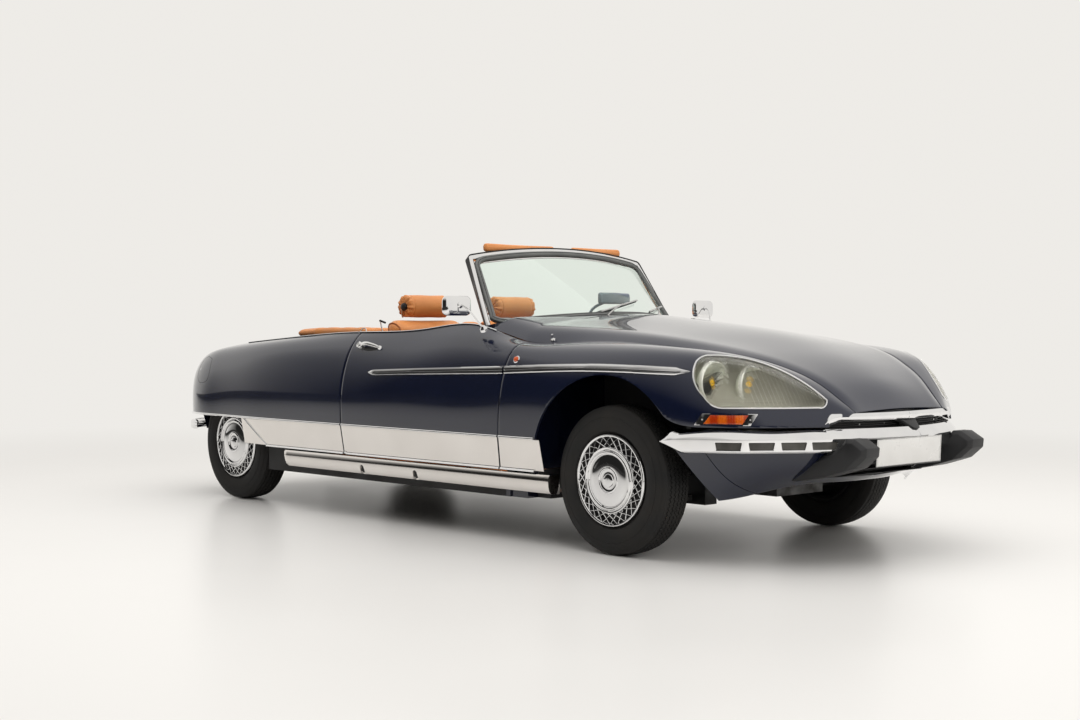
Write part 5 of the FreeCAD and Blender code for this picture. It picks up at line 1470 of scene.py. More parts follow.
handle = swept("grip", handle_path, handle_section, facing=[n for _, n in met], smooth=50)
hit, facing = on_side(door_tree, -0.408, 0.901)
boss = dished("boss", closed_profile(mm((-4, 0.4), (-4, 18.5), (14, 18.5), (21, 16.5), (24, 12.5),
    (23.5, 8.5), (21.5, 8), (21.5, 0.4))), hit, facing, 40)
foot_hit, foot_facing = on_side(door_tree, -0.246, 0.893)
toe = dished("toe", closed_profile(mm((-3, 0.4), (-3, 12.5), (6, 11.5), (12, 7.5), (13, 0.4))), foot_hit,
    foot_facing, 28)
both(joined("door_handle_right", [handle, boss, toe]), chrome, "door_SIDE", ["door_fittings_SIDE"])
# A thin dark strip on the door behind the handle: painted shadow of the handle.
handle_shadow_strip = strip_on("handle_shadow_right", door_tree, ((-0.395, 0.89), (-0.33, 0.887), (-0.265, 0.888)), 30,
    lambda share: [(o, u * (0.25 + 1.0 * math.sin(math.pi * share) ** 0.6)) for o,
    u in [(-0.001, 0.01), (0.0014, 0.009), (0.0016, 0.0), (0.0014, -0.009), (-0.001, -0.01)]])
both(handle_shadow_strip, black_plastic, "door_SIDE")
key = dished("keyhole_right", closed_profile(mm((20.5, 0.4), (20.5, 7), (22.2, 6.6), (22.4, 1.2),
    (21.5, 0.4))), hit, facing, 24)
both(key, satin_chrome, "door_SIDE")

# Mirror: a rounded shell on a slim arm from the door's upper front corner.
MIRROR = Vector((0.424, -0.896, 1.1))


def mirror_shell():
    """A rounded box that is flat behind, where its glass is, and domed in front."""
    outline = []
    for cy, cz, a0 in ((0.054, 0.02, 0), (-0.054, 0.02, 90), (-0.054, -0.02, 180), (0.054, -0.02, 270)):
        outline += [(cy + 0.0275 * math.cos(math.radians(a0 + a)), cz + 0.0275
            * math.sin(math.radians(a0 + a))) for a in range(0, 91, 15)]
    bm = bmesh.new()
    rings = []
    for ahead, size in ((-0.0135, 0.955), (-0.015, 0.985), (-0.013, 1.0), (-0.004, 1.0), (0.004, 0.975),
            (0.011, 0.9), (0.0155, 0.76), (0.0175, 0.52)):
        rings.append([bm.verts.new((ahead, y * size, z * size)) for y, z in outline])
    bridged(bm, rings)
    bmesh.ops.rotate(bm, verts=bm.verts, matrix=Matrix.Rotation(math.radians(-3), 3, "Z"))
    bmesh.ops.translate(bm, verts=bm.verts, vec=MIRROR)
    return shade(keep(bm, "mirror_shell"), 40)


mirror_foot = Vector((0.536, -0.828, 0.992))
stalk = tube("stalk", smooth_path([MIRROR + Vector((0.016, 0.004, 0.004)), MIRROR
    + Vector((0.034, 0.006, 0.0)), mirror_foot + Vector((-0.02, -0.016, 0.03)), mirror_foot], 24), 0.0046)
socket = dished("socket", closed_profile(mm((-4, 0.4), (-4, 17), (4, 15.5), (9, 10), (11, 0.4))), MIRROR
    + Vector((0.0165, 0.003, 0.003)), (1, 0, 0), 28)
foot = dished("foot", closed_profile(mm((-12, 0.4), (-12, 20), (0, 19), (7, 13), (14, 8.5), (16, 0.4))),
    mirror_foot, (0.1, -0.5, 0.86), 28)
both(joined("door_mirror_right", [mirror_shell(), stalk, socket, foot]), chrome, "door_SIDE")
bm = bmesh.new()
bmesh.ops.create_grid(bm, x_segments=8, y_segments=6, size=1)
for v in bm.verts:
    y, z = v.co.x, v.co.y
    r = max(abs(y), abs(z)) / max(1e-6, (abs(y) ** 4 + abs(z) ** 4) ** 0.25)
    v.co = Vector((-0.015, y * r * 0.0765, z * r * 0.0425))
bmesh.ops.rotate(bm, verts=bm.verts, matrix=Matrix.Rotation(math.radians(-3), 3, "Z"))
bmesh.ops.translate(bm, verts=bm.verts, vec=MIRROR)
pane = thick(outward(keep(bm, "mirror_pane_right"), (-5, -1, 1.1)), 0.001, 1)
both(finished(pane), mirror_glass, "door_SIDE")

# Side repeater on the front wing.
hit, facing = on_side(fender_tree, 0.806, 0.849)
ring = dished("repeater_ring_right", closed_profile(mm((-4, 10), (-4, 18.5), (2, 18.5), (4.5, 16),
    (4.5, 13.5), (0, 13))), hit, facing, 36)
both(ring, chrome)
bulb = dished("repeater_lens_right", closed_profile(mm((0, 0.4), (0, 13.8), (6, 13.5), (11, 10),
    (13.5, 0.4))), hit, facing, 36)
both(bulb, amber)

# Fuel flap in the right-hand rear wing, with its lock.
FLAP = mm((-1925, 812), (-1918, 690), (-1975, 672), (-2045, 690), (-2075, 752), (-2045, 812))

smooth_ring = smooth_path([(x, 0, z) for x, z in FLAP + FLAP[:1]], 56)[:-1]
flap_met = [on_side(wing_tree, p.x, p.z) for p in smooth_ring]
flap_gap = swept("fuel_flap_gap", [h for h, _ in flap_met],
    mm((-3, 1.3), (0.4, 1.3), (0.4, -1.3), (-3, -1.3)), facing=[n for _, n in flap_met], loop=True)
dress(flap_gap, black_rubber)
hit, facing = on_side(wing_tree, -2.04, 0.752)
dress(dished("fuel_flap_lock", closed_profile(mm((-2, 0.4), (-2, 7.5), (1.5, 7), (2, 0.4))), hit, facing, 20),
    satin_chrome)

# Rubber flap behind the front wheel.
flap = prism("wheel_guard_right", [(FRONT - 0.462, -0.835, 0.345), (FRONT - 0.47, -0.835, 0.262),
    (FRONT - 0.452, -0.835, 0.256), (FRONT - 0.4, -0.835, 0.3), (FRONT - 0.418, -0.835, 0.35)], (0, 0.16, 0))
both(finished(rounded(flap, 0.004, 2, 30)), black_rubber)


# ---------------------------------------------------------------- windscreen
SCREEN_FOOT, SCREEN_HEAD = FRONT - 0.7, FRONT - 1.17
FOOT_HALF, HEAD_HALF = 0.68, 0.62
FOOT_SAG = 0.3
HEAD_SAG, HEAD_HEIGHT = 0.03, 1.397
SCREEN_RISE = 0.588      # from foot to header along the glass


def screen_point(v, w):
    """A point of the windscreen's face, v metres up from its foot and w to the left of the middle."""
    level = v / SCREEN_RISE
    s = w / (FOOT_HALF + (HEAD_HALF - FOOT_HALF) * level)
    low_x = SCREEN_FOOT - s * s * FOOT_SAG
    low = Vector((low_x, s * FOOT_HALF, 1.05 + 0.16 * (low_x - SCREEN_FOOT)))
    high = Vector((SCREEN_HEAD - s * s * HEAD_SAG, s * HEAD_HALF, HEAD_HEIGHT - 1.7 * s * s * HEAD_SAG))
    return low + (high - low) * level


def screen_facing(v, w):
    across = screen_point(v, w + 0.01) - screen_point(v, w - 0.01)
    upward = screen_point(v + 0.01, w) - screen_point(v - 0.01, w)
    return across.cross(upward).normalized()


def screen_edge(inset, radius, foot, whole=False):
    """(v, w) stations round the screen, from the right foot over the header to the left foot."""
    half = lambda v: FOOT_HALF + (HEAD_HALF - FOOT_HALF) * v / SCREEN_RISE - inset
    top = SCREEN_RISE - inset
    start = foot + (radius if whole else 0)
    side = [(v, half(v)) for v in np.linspace(start, top - radius, 16)]
    corner = [(top - radius + radius * math.sin(a), half(top - radius) - radius + radius * math.cos(a))
        for a in np.linspace(0, math.pi / 2, 9)[1:]]
    header = [(top, w) for w in np.linspace(corner[-1][1], 0, 14)[1:]]
    right = [(v, -w) for v, w in side + corner + header]
    left = [(v, -w) for v, w in right[-2::-1]]
    around_it = right + left
    if whole:
        low = [(foot + radius - radius * math.sin(a), half(foot) - radius + radius * math.cos(a))
            for a in np.linspace(0, math.pi / 2, 7)[1:]]
        base = [(foot, w) for w in np.linspace(low[-1][1], -low[-1][1], 26)[1:-1]]
        around_it += low + base + [(v, -w) for v, w in low[::-1]]
    return around_it


def screen_sweep(name, stations, section, loop=False):
    path = [screen_point(v, w) for v, w in stations]
    facing = [screen_facing(v, w) for v, w in stations]
    centre = screen_point(SCREEN_RISE / 2, 0)
    middle = [Vector((screen_point(v, 0).x, 0, screen_point(v, 0).z)) for v, w in stations]
    ups = [(p - (m + (centre - m) * 0.6)) for p, m in zip(path, middle)]
    return swept(name, path, section, up=ups, facing=facing, loop=loop, smooth=40)


FRAME = mm((12, 13), (16, 6), (16, -8), (12, -13), (-14, -13), (-20, -6), (-20, 8), (-14, 13))
frame_line = screen_edge(0.012, 0.008, -0.012)
frame_bar = finished(rounded(screen_sweep("windscreen_frame_bar", frame_line, FRAME), 0.002, 2, 30))
dress(frame_bar, chrome, "chassis", ["windscreen_frame"])
edge_strip = mm((17.5, 12.5), (17.5, 14.5), (-21, 14.5), (-21, 12.5))
dress(screen_sweep("windscreen_edge_strip", frame_line, edge_strip), black_rubber)
SEAL = mm((10, 16), (16.5, 12), (19, 4), (17.5, -6), (12, -13), (6, -15), (-4, -13), (-4, 16))
dress(screen_sweep("windscreen_seal", screen_edge(0.04, 0.062, 0.016, True), SEAL, True), seal_rubber)
LIP = mm((18.5, 1.5), (20.5, 0), (18.5, -1.5), (16, 0))
dress(screen_sweep("windscreen_seal_bead", screen_edge(0.04, 0.062, 0.016, True), LIP, True), black_rubber)


def pane_place(u, v):
    tall = SCREEN_RISE - 0.066
    points = [screen_point(0.02 + (tall - 0.02) * b, (2 * a - 1) * (FOOT_HALF - 0.048 - 0.06 * b)) for a,
        b in zip(u, v)]
    return tuple(np.array([tuple(p) for p in points]).T)


pane = laid("windscreen_pane", 44, 20, pane_place)
outward(pane, (FRONT + 3, 0, 2))
thick(pane, 0.005)
dress(finished(pane), screen_glass, "chassis", ["windscreen_glass"])

# Header rail on the cabin side.
header = [screen_point(SCREEN_RISE - 0.018, w) + Vector((-0.026, 0, 0)) for w in np.linspace(-0.56, 0.56, 40)]
RAIL = mm((14, 10), (-10, 10), (-16, 2), (-10, -14), (14, -14))
dress(swept("header_rail", header, RAIL), headlining)

# Wipers at the screen's foot, and the washer nozzles.
wiper_bits, wiper_rubbers = [], []
for pivot, tip, blade in ((0.2, (0.09, 0.4), 0.34), (-0.205, (0.078, 0.03), 0.36)):
    base = screen_point(-0.055, pivot) + Vector((0.012, 0, 0.004))
    grip = screen_point(tip[0], tip[1])
    lift = screen_facing(*tip) * 0.024
    elbow = base.lerp(grip + lift, 0.3) + Vector((0.01, 0, 0.016))
    wiper_bits.append(tube("arm", smooth_path([base, elbow, grip + lift], 16), 0.0042, 8))
    wiper_bits.append(dished("pivot", closed_profile(mm((-30, 0.4), (-30, 13), (6, 12), (11, 8), (13, 0.4))),
        base, (0.45, 0, 0.9), 24))
    run = [(tip[0] + 0.1 * t * 0.55, tip[1] + blade * 0.5 * t) for t in np.linspace(-1, 1, 18)]
    wiper_bits.append(swept("blade", [screen_point(v, w) + screen_facing(v, w) * 0.018 for v, w in run],
        mm((3, 4), (3, -4), (-3, -3), (-3, 3)), facing=[screen_facing(v, w) for v, w in run]))
    wiper_rubbers.append(swept("rubber", [screen_point(v, w) + screen_facing(v, w) * 0.01 for v, w in run],
        mm((6, 1.8), (6, -1.8), (-6, -0.8), (-6, 0.8)), facing=[screen_facing(v, w) for v, w in run]))
dress(joined("wiper_arms", wiper_bits), satin_chrome)
dress(joined("wiper_rubbers", wiper_rubbers), black_rubber)
nozzles = []
hit, _, _, _ = tree_of(bonnet).ray_cast(Vector((0.868, -0.69, 2.0)), Vector((0, 0, -1)))
for side in (-1, 1):
    at = Vector((hit.x, side * abs(hit.y), hit.z))
    nozzles.append(dished("nozzle", closed_profile(mm((-3, 0.4), (-3, 12.5), (3, 11.5), (7, 6.5), (17, 5),
        (20, 6.5), (26, 6), (28, 0.4))), at, (0, side * 0.3, 0.95), 24))
dress(joined("washer_nozzles", nozzles), chrome, "bonnet")
# ---------------------------------------------------------------- seats and padding
def puffed(obj, pressure, swell, voxel=0.008):
    """Blow a closed pad up like cloth; no point moves further than swell."""
    even_faces = obj.modifiers.new("even_faces", "REMESH")
    even_faces.mode, even_faces.voxel_size = "VOXEL", voxel
    finished(obj)
    before = [v.co.copy() for v in obj.data.vertices]
    cloth = obj.modifiers.new("cloth", "CLOTH")
    cloth.settings.use_pressure = True
    cloth.settings.uniform_pressure_force = pressure
    cloth.settings.effector_weights.gravity = 0
    cloth.settings.quality = 4
    cloth.point_cache.frame_start, cloth.point_cache.frame_end = 1, 20
    for frame in range(1, 21):
        bpy.context.scene.frame_set(frame)
    finished(obj)
    bpy.context.scene.frame_set(1)
    for vert, start in zip(obj.data.vertices, before):
        moved = vert.co - start
        vert.co = start + moved * min(1.0, swell / max(moved.length, 1e-9))
    return obj


def softened(obj, passes=3):
    """Even out the pad's skin, and shade it."""
    bm = bmesh.new()
    bm.from_mesh(obj.data)
    for _ in range(passes):
        bmesh.ops.smooth_vert(bm, verts=bm.verts, factor=0.5, use_axis_x=True, use_axis_y=True,
            use_axis_z=True)
    bm.to_mesh(obj.data)
    bm.free()
    return shade(obj, 60)


def sewn(obj, depth):
    """Press sewn channels in: depth(point, normal) in metres, along the skin."""
    obj.data.update()
    moves = [vert.normal * depth(vert.co, vert.normal) for vert in obj.data.vertices]
    for vert, move in zip(obj.data.vertices, moves):
        vert.co -= move
    return shade(obj, 60)


def pad(name, low, high, edge, lean=0.0, narrow=0.0):
    """A padded block with soft edges; it leans back, and narrows, as it rises."""
    obj = soft_block(name, low, high, edge, 6)
    middle = (low[1] + high[1]) / 2
    for vert in obj.data.vertices:
        rise = vert.co.z - low[2]
        vert.co.x += lean * rise
        vert.co.y += (middle - vert.co.y) * narrow * rise
    return obj


def groove_at(offset, width=0.006):
    return math.exp(-(offset / width) ** 2)


SEAT_MIDDLE = -0.32
SEAT_LEAN = -0.29
FLUTE_PITCH = 0.052
leather_dark = soft_leather("tan_leather_piping", (0.44, 0.145, 0.04), (0.36, 0.11, 0.03))


def flutes(point, normal, facing, half):
    """Sewn flutes over a middle panel, and the seam round it."""
    if normal.dot(facing) < 0.35:
        return 0
    across = point.y - SEAT_MIDDLE
    if abs(across) > half + 0.02:
        return 0
    line = 0.007 * groove_at((abs(across) - half), 0.005)
    if abs(across) < half:
        off = (across / FLUTE_PITCH - round(across / FLUTE_PITCH)) * FLUTE_PITCH
        line = max(line, 0.005 * groove_at(off, 0.006))
    return line


cushion = pad("seat_cushion_right", (-0.385, -0.572, 0.305), (0.105, -0.068, 0.468), 0.045)
for vert in cushion.data.vertices:
    vert.co.z -= 0.02 * max(0.0, (-vert.co.x - 0.05) / 0.33) if vert.co.z > 0.4 else 0
puffed(cushion, 4.0, 0.014)
softened(cushion)
sewn(cushion, lambda p, n: flutes(p, n, Vector((0, 0, 1)), 0.156) if p.x < 0.06 else 0)
back = pad("seat_back_right", (-0.418, -0.572, 0.47), (-0.3, -0.068, 1.046), 0.054, SEAT_LEAN, 0.03)
puffed(back, 4.0, 0.012)
softened(back)
seat_face = Vector((0.96, 0, 0.28))
sewn(back, lambda p, n: flutes(p, n, seat_face, 0.15) if p.z < 0.96 else 0.006 * groove_at(p.z - 0.975, 0.005)
    if n.dot(seat_face) > 0.3 else 0)
for piece in (cushion, back):
    for made in both(piece, tan_leather, "chassis", ["front_seats"]):
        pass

# Piping follows the two sides of each back and the rim of each cushion.
back_tree = tree_of(back)
cushion_tree = tree_of(cushion)
rims = []
for side in (-1, 1):
    way = Vector((0, side, 0))
    rim = []
    for z, x in ((0.5, 0.012), (0.62, 0.014), (0.8, 0.016), (0.94, 0.02), (1.0, 0.004), (1.018, -0.04),
            (1.01, -0.08), (0.97, -0.102), (0.85, -0.104), (0.7, -0.1), (0.52, -0.096)):
        at = Vector((-0.31 + SEAT_LEAN * (z - 0.47) + x, SEAT_MIDDLE + side * (0.236 - 0.012 * (z > 0.99)),
            z))
        near = back_tree.find_nearest(at)
        rim.append(near[0] + near[1] * 0.002)
    rims.append(tube("back_piping", smooth_path(rim, 90), 0.0042, 8))
    rim = []
    for x, z in ((-0.36, 0.452), (-0.2, 0.462), (0.0, 0.466), (0.075, 0.455), (0.098, 0.41), (0.098, 0.34)):
        near = cushion_tree.find_nearest(Vector((x, SEAT_MIDDLE + side * 0.235, z)))
        rim.append(near[0] + near[1] * 0.002)
    rims.append(tube("cushion_piping", smooth_path(rim, 70), 0.0042, 8))
both(joined("seat_piping_right", rims), leather_dark)

between = pad("centre_armrest", (-0.418, -0.062, 0.52), (-0.318, 0.062, 1.03), 0.04, SEAT_LEAN)
puffed(between, 3.0, 0.006)
dress(softened(between), tan_leather)

plinth = soft_block("seat_plinth_right", (-0.37, -0.56, 0.2262), (0.09, -0.08, 0.312), 0.012, 3)
both(plinth, black_plastic)

ROLL = Vector((-0.523, SEAT_MIDDLE, 1.112))
ROLL_RADIUS, ROLL_HALF = 0.0605, 0.145


def roll_place(u, v):
    """A bolster: round, with ends that tuck in to a point."""
    along_share = 2 * v - 1
    end = np.clip((np.abs(along_share) - 0.8) / 0.2, 0, 1)
    radius = ROLL_RADIUS * np.sqrt(np.clip(1 - 0.985 * end ** 2.6, 0.0, 1))
    y = ROLL.y + ROLL_HALF * np.sign(along_share) * (np.minimum(np.abs(along_share), 0.8) / 0.8 * 0.86 + 0.14
        * np.sin(end * np.pi / 2))
    turn = 2 * np.pi * u
    return ROLL.x + radius * np.cos(turn), y, ROLL.z + radius * np.sin(turn)


roll = laid("headrest_right", 72, 60, roll_place)
bm = bmesh.new()
bm.from_mesh(roll.data)
bmesh.ops.remove_doubles(bm, verts=bm.verts, dist=1e-5)
bmesh.ops.holes_fill(bm, edges=[e for e in bm.edges if e.is_boundary], sides=0)
bmesh.ops.recalc_face_normals(bm, faces=bm.faces)
bm.to_mesh(roll.data)
bm.free()
puffed(roll, 4.0, 0.005, 0.005)
softened(roll, 2)


def gathers(point, _):
    """Radial folds where the ends are drawn in, and a sewn ring round each end."""
    out = abs(point.y - ROLL.y)
    turn = math.atan2(point.z - ROLL.z, point.x - ROLL.x)
    drawn = max(0.0, min(1.0, (out - 0.112) / 0.03))
    fold = 0.0026 * drawn * (math.sin(11 * turn) + 0.6 * math.sin(17 * turn + 1.3))
    sag = 0.0022 * math.sin(41 * (point.y - ROLL.y) + 2.0 * math.cos(turn)) * (1 - drawn)
    return fold + 0.3 * sag + 0.0035 * groove_at(out - 0.113, 0.0035)


sewn(roll, gathers)
for made in both(roll, tan_leather, "chassis", ["headrests"]):
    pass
knob = dished("headrest_knob_right", mm((-4, 0), (-4, 17), (4, 21), (14, 20), (19, 14), (21, 6), (21, 0)),
    (ROLL.x + 0.012, ROLL.y - ROLL_HALF + 0.001, ROLL.z - 0.004), (0, -1, 0), 32)
both(knob, black_plastic)
lever = tube("headrest_lever_right", smooth_path([
    (ROLL.x + 0.004, ROLL.y - ROLL_HALF - 0.01, ROLL.z - 0.012),
    (ROLL.x - 0.008, ROLL.y - ROLL_HALF - 0.006, ROLL.z - 0.034),
    (ROLL.x - 0.012, ROLL.y - ROLL_HALF + 0.004, ROLL.z - 0.06)], 16), 0.0045, 10)
both(lever, satin_chrome)

bench = pad("rear_cushion", (-1.055, -0.628, 0.29), (-0.697, 0.628, 0.486), 0.05)
puffed(bench, 4.0, 0.014, 0.01)
softened(bench)
rest = pad("rear_back", (-1.078, -0.628, 0.5), (-0.985, 0.628, 0.882), 0.04, -0.345)
puffed(rest, 4.0, 0.012, 0.01)
softened(rest)


def bench_lines(point, normal, facing):
    """Two sitting places with flutes, and a plain strip between them."""
    if normal.dot(facing) < 0.35:
        return 0
    across = abs(abs(point.y) - 0.315)
    line = 0.007 * groove_at(across - 0.215, 0.006)
    if across < 0.215:
        line = max(line, 0.005 * groove_at((across / 0.054 - round(across / 0.054)) * 0.054, 0.007))
    return line


sewn(bench, lambda p, n: bench_lines(p, n, Vector((0, 0, 1))))
sewn(rest, lambda p, n: bench_lines(p, n, Vector((0.94, 0, 0.33))))
for piece in (bench, rest):
    dress(piece, tan_leather, "chassis", ["rear_seat"])

# ---------------------------------------------------------------- folded roof under its leather cover
cover = pad("roof_cover_pad", (-1.21, -0.69, 0.95), (-0.962, 0.69, 0.993), 0.018)
for vert in cover.data.vertices:
    back_share = max(0.0, (-1.145 - vert.co.x) / 0.065)
    vert.co.z -= 0.018 * min(1.0, back_share) ** 1.5 * (vert.co.z > 0.97)
puffed(cover, 3.0, 0.006, 0.009)
softened(cover)
sewn(cover, lambda p, n: (0.004 * groove_at(abs(p.y) - 0.225, 0.004) + 0.004 * groove_at(p.x + 1.01, 0.004)
    + 0.0012 * math.sin(27 * p.y) * math.sin(19 * p.x + 1)) if n.z > 0.5 else 0)
dress(cover, tan_leather, "chassis", ["roof_cover"])
arm = pad("roof_cover_arm_right", (-1.0, -0.722, 0.948), (-0.515, -0.632, 0.993), 0.018)
puffed(arm, 3.0, 0.004, 0.006)
softened(arm)
sewn(arm, lambda p, n: 0.003 * groove_at(p.y + 0.69, 0.003) + 0.0016 * math.sin(46 * p.x + 9 * p.y))
for made in both(arm, tan_leather):
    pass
studs = []
for y in (-0.6, -0.4, -0.2, 0, 0.2, 0.4, 0.6):
    studs.append(dished("stud", mm((0, 5.5), (2, 5.5), (3.4, 4), (3.8, 0)), (-1.196, y, 0.974),
        (-0.45, 0, 0.89), 14))
dress(joined("cover_studs", studs), chrome)
clip = [soft_block("clip_plate", (-0.52, -0.772, 0.966), (-0.47, -0.752, 0.976), 0.002, 2),
    tube("clip_loop", smooth_path([(-0.515, -0.762, 0.972), (-0.505, -0.756, 0.99), (-0.48, -0.752, 0.99),
    (-0.47, -0.756, 0.974)], 20), 0.003, 8)]
both(joined("roof_clip_right", clip), chrome)
rod = tube("belt_guide_right", smooth_path([(-0.5, -0.64, 1.028), (-0.492, -0.64, 1.005),
    (-0.474, -0.64, 0.93), (-0.47, -0.64, 0.8)], 24), 0.0035, 8)
both(rod, chrome)
stub = tube("belt_guide_tip_right", [Vector((-0.506, -0.64, 1.034)), Vector((-0.47, -0.63, 1.022))], 0.0055,
    10)
both(stub, black_plastic)

# ---------------------------------------------------------------- sun visors and inner mirror
for name, low_y, high_y in (("sun_visor_right", -0.505, -0.02), ("sun_visor_left", 0.112, 0.478)):
    visor = pad(name, (0.158, low_y, 1.379), (0.192, high_y, 1.4222), 0.015)
    puffed(visor, 3.0, 0.002, 0.005)
    softened(visor, 2)
    sewn(visor, lambda p, n: 0.0018 * groove_at(p.z - 1.4115, 0.0016) if abs(n.x) > 0.5 else 0)
    dress(visor, tan_leather, "chassis", ["sun_visors"])

GLANCE = Vector((0.49, 0.108, 1.146))
shell = soft_block("inner_mirror", (GLANCE.x - 0.01, GLANCE.y - 0.112, GLANCE.z - 0.03),
    (GLANCE.x + 0.016, GLANCE.y + 0.112, GLANCE.z + 0.028), 0.012, 5)
mirror_grey = worn("mirror_back_grey", (0.16, 0.19, 0.23), (0.13, 0.15, 0.19), 0.35, 0.5, 30.0, 600.0, 0.08)
dress(shell, mirror_grey)
pane = soft_block("inner_mirror_pane", (GLANCE.x - 0.0114, GLANCE.y - 0.102, GLANCE.z - 0.021),
    (GLANCE.x - 0.0098, GLANCE.y + 0.102, GLANCE.z + 0.019), 0.0006, 1)
dress(pane, mirror_glass)
dress(tube("inner_mirror_stalk", smooth_path([(0.4, 0.02, 0.94), (0.384, 0.028, 1.03), (0.396, 0.044, 1.086),
    (0.44, 0.074, 1.12), (GLANCE.x - 0.004, GLANCE.y - 0.006, GLANCE.z - 0.01)], 40), 0.0075, 10),
    mirror_grey)

# ---------------------------------------------------------------- dashboard, floor and doors
dials, faces, marks = [], [], []
dial_white = worn("dial_white", (0.75, 0.75, 0.72), (0.68, 0.68, 0.65), 0.4, 0.5, 40.0, 300.0, 0.02)
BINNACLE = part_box("dashboard")[1].x - 0.404
binnacle = soft_block("instrument_hood", (BINNACLE + 0.004, 0.09, 0.79), (BINNACLE + 0.12, 0.55, 0.946),
    0.018, 4)
dress(binnacle, black_plastic)
for y, radius in ((0.205, 0.052), (0.322, 0.052), (0.439, 0.052)):
    at = (BINNACLE + 0.003, y, 0.872)
    dials.append(dished("dial_rim", [(0.0, radius), (0.006, radius), (0.008, radius - 0.003),
        (0.006, radius - 0.006), (0.001, radius - 0.007), (0.0, radius - 0.006)], at, (-1, 0, 0), 48))
    faces.append(dished("dial_face", [(0.0, 0.0), (0.0, radius - 0.006), (0.0016, radius - 0.006),
        (0.0016, 0.0)], at, (-1, 0, 0), 40))
    for step in range(21):
        turn = math.radians(-130 + 13 * step)
        long = 0.01 if step % 5 == 0 else 0.006
        out = Vector((0, math.sin(turn), math.cos(turn)))
        tip = Vector(at) + Vector((-0.0022, 0, 0)) + out * (radius - 0.01)
        marks.append(tube("mark", [tip, tip - out * long], 0.0007, 4))
    out = Vector((0, math.sin(-2.1), math.cos(-2.1)))
    marks.append(tube("needle", [Vector(at) + Vector((-0.004, 0, 0)) - out * 0.01, Vector(at)
        + Vector((-0.004, 0, 0)) + out * (radius - 0.014)], 0.0011, 5))
dress(joined("dial_rims", dials), chrome)
dress(joined("dial_faces", faces), black_plastic)
dress(joined("dial_marks", marks), dial_white)
glove_lid = soft_block("glove_box_lid", (BINNACLE - 0.002, -0.56, 0.8), (BINNACLE + 0.06, -0.12, 0.906),
    0.012, 3)
dress(glove_lid, black_plastic)
dress(dished("glove_box_knob", mm((0, 10), (10, 10), (14, 7), (15, 0)), (BINNACLE - 0.001, -0.34, 0.888),
    (-1, 0, 0), 24), chrome)
vents = [soft_block("vent", (BINNACLE + 0.002, side * 0.598 - 0.03, 0.842),
    (BINNACLE + 0.06, side * 0.598 + 0.03, 0.9), 0.004, 2) for side in (-1, 1)]
dress(joined("side_vents", vents), satin_chrome)

floor_cover = soft_block("floor_carpet", (-0.66, -0.618, 0.2256), (0.7, 0.618, 0.2372), 0.004, 2)
dress(floor_cover, carpet)
pedals = []
for y in (0.225, 0.32, 0.43):
    pedals.append(soft_block("pedal", (0.59, y - 0.032, 0.33), (0.604, y + 0.032, 0.4), 0.005, 2))
    pedals.append(tube("pedal_arm", smooth_path([(0.604, y, 0.37), (0.64, y, 0.48), (0.66, y, 0.64),
        (0.655, y, 0.8)], 24), 0.007, 8))
dress(joined("pedals", pedals), black_rubber)

card = soft_block("door_card_right", (-0.47, -0.7735, 0.36), (0.56, -0.76, 0.925), 0.005, 3)
both(card, tan_leather, "door_SIDE")
card_trim = [tube("card_bead", [Vector((-0.455, -0.759, z)), Vector((0.545, -0.759, z))], 0.0028, 8)
    for z in (0.56, 0.8)]
both(joined("door_card_beads_right", card_trim), chrome, "door_SIDE")
rest_pad = pad("door_armrest_right", (-0.33, -0.76, 0.64), (0.06, -0.69, 0.702), 0.022)
puffed(rest_pad, 3.0, 0.004, 0.006)
softened(rest_pad, 2)
for made in both(rest_pad, tan_leather, "door_SIDE"):
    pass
pocket = soft_block("door_pocket_right", (-0.1, -0.761, 0.39), (0.48, -0.718, 0.53), 0.014, 4)
both(pocket, tan_leather, "door_SIDE")
opener = [tube("opener", smooth_path([(0.12, -0.758, 0.742), (0.12, -0.736, 0.744), (0.16, -0.728, 0.744),
    (0.225, -0.732, 0.742)], 24), 0.0065, 10), tube("winder",
    smooth_path([(0.33, -0.758, 0.64), (0.33, -0.735, 0.64), (0.35, -0.728, 0.61), (0.385, -0.728, 0.56)],
    24), 0.006, 10), dished("winder_knob", mm((0, 0), (0, 12), (20, 13), (24, 8), (25, 0)),
    (0.385, -0.728, 0.56), (0, 1, 0), 20)]
both(joined("door_levers_right", opener), chrome, "door_SIDE")
# ---------------------------------------------------------------- rear bumper, lamps and fittings
TAIL_FACE = REAR - 0.615
REAR_PLAN = mm((-392, 758), (-500, 735), (-590, 640), (-650, 500), (-675, 320), (-686, 160), (-688.5, 0))
rear_line = smooth_path([(REAR + x, w, 0) for x, w in REAR_PLAN]
    + [(REAR + x, -w, 0) for x, w in REAR_PLAN[-2::-1]], 150)
BLADE = mm((-24, 444.5), (-12, 444), (-2, 436), (-0.5, 424), (-4, 416.5), (-0.5, 409), (-2, 395),
    (-12, 386.5), (-24, 386))


def blade_section(share):
    reach = mix(0.3, 1.0, min(share, 1 - share) / 0.02)
    face = [(s * reach, 0.415 + (z - 0.415) * mix(0.55, 1.0, min(share, 1 - share) / 0.03)) for s, z in BLADE]
    return face + [(s - 0.0032, 0.415 + (z - 0.415) * 0.93) for s, z in reversed(face)]


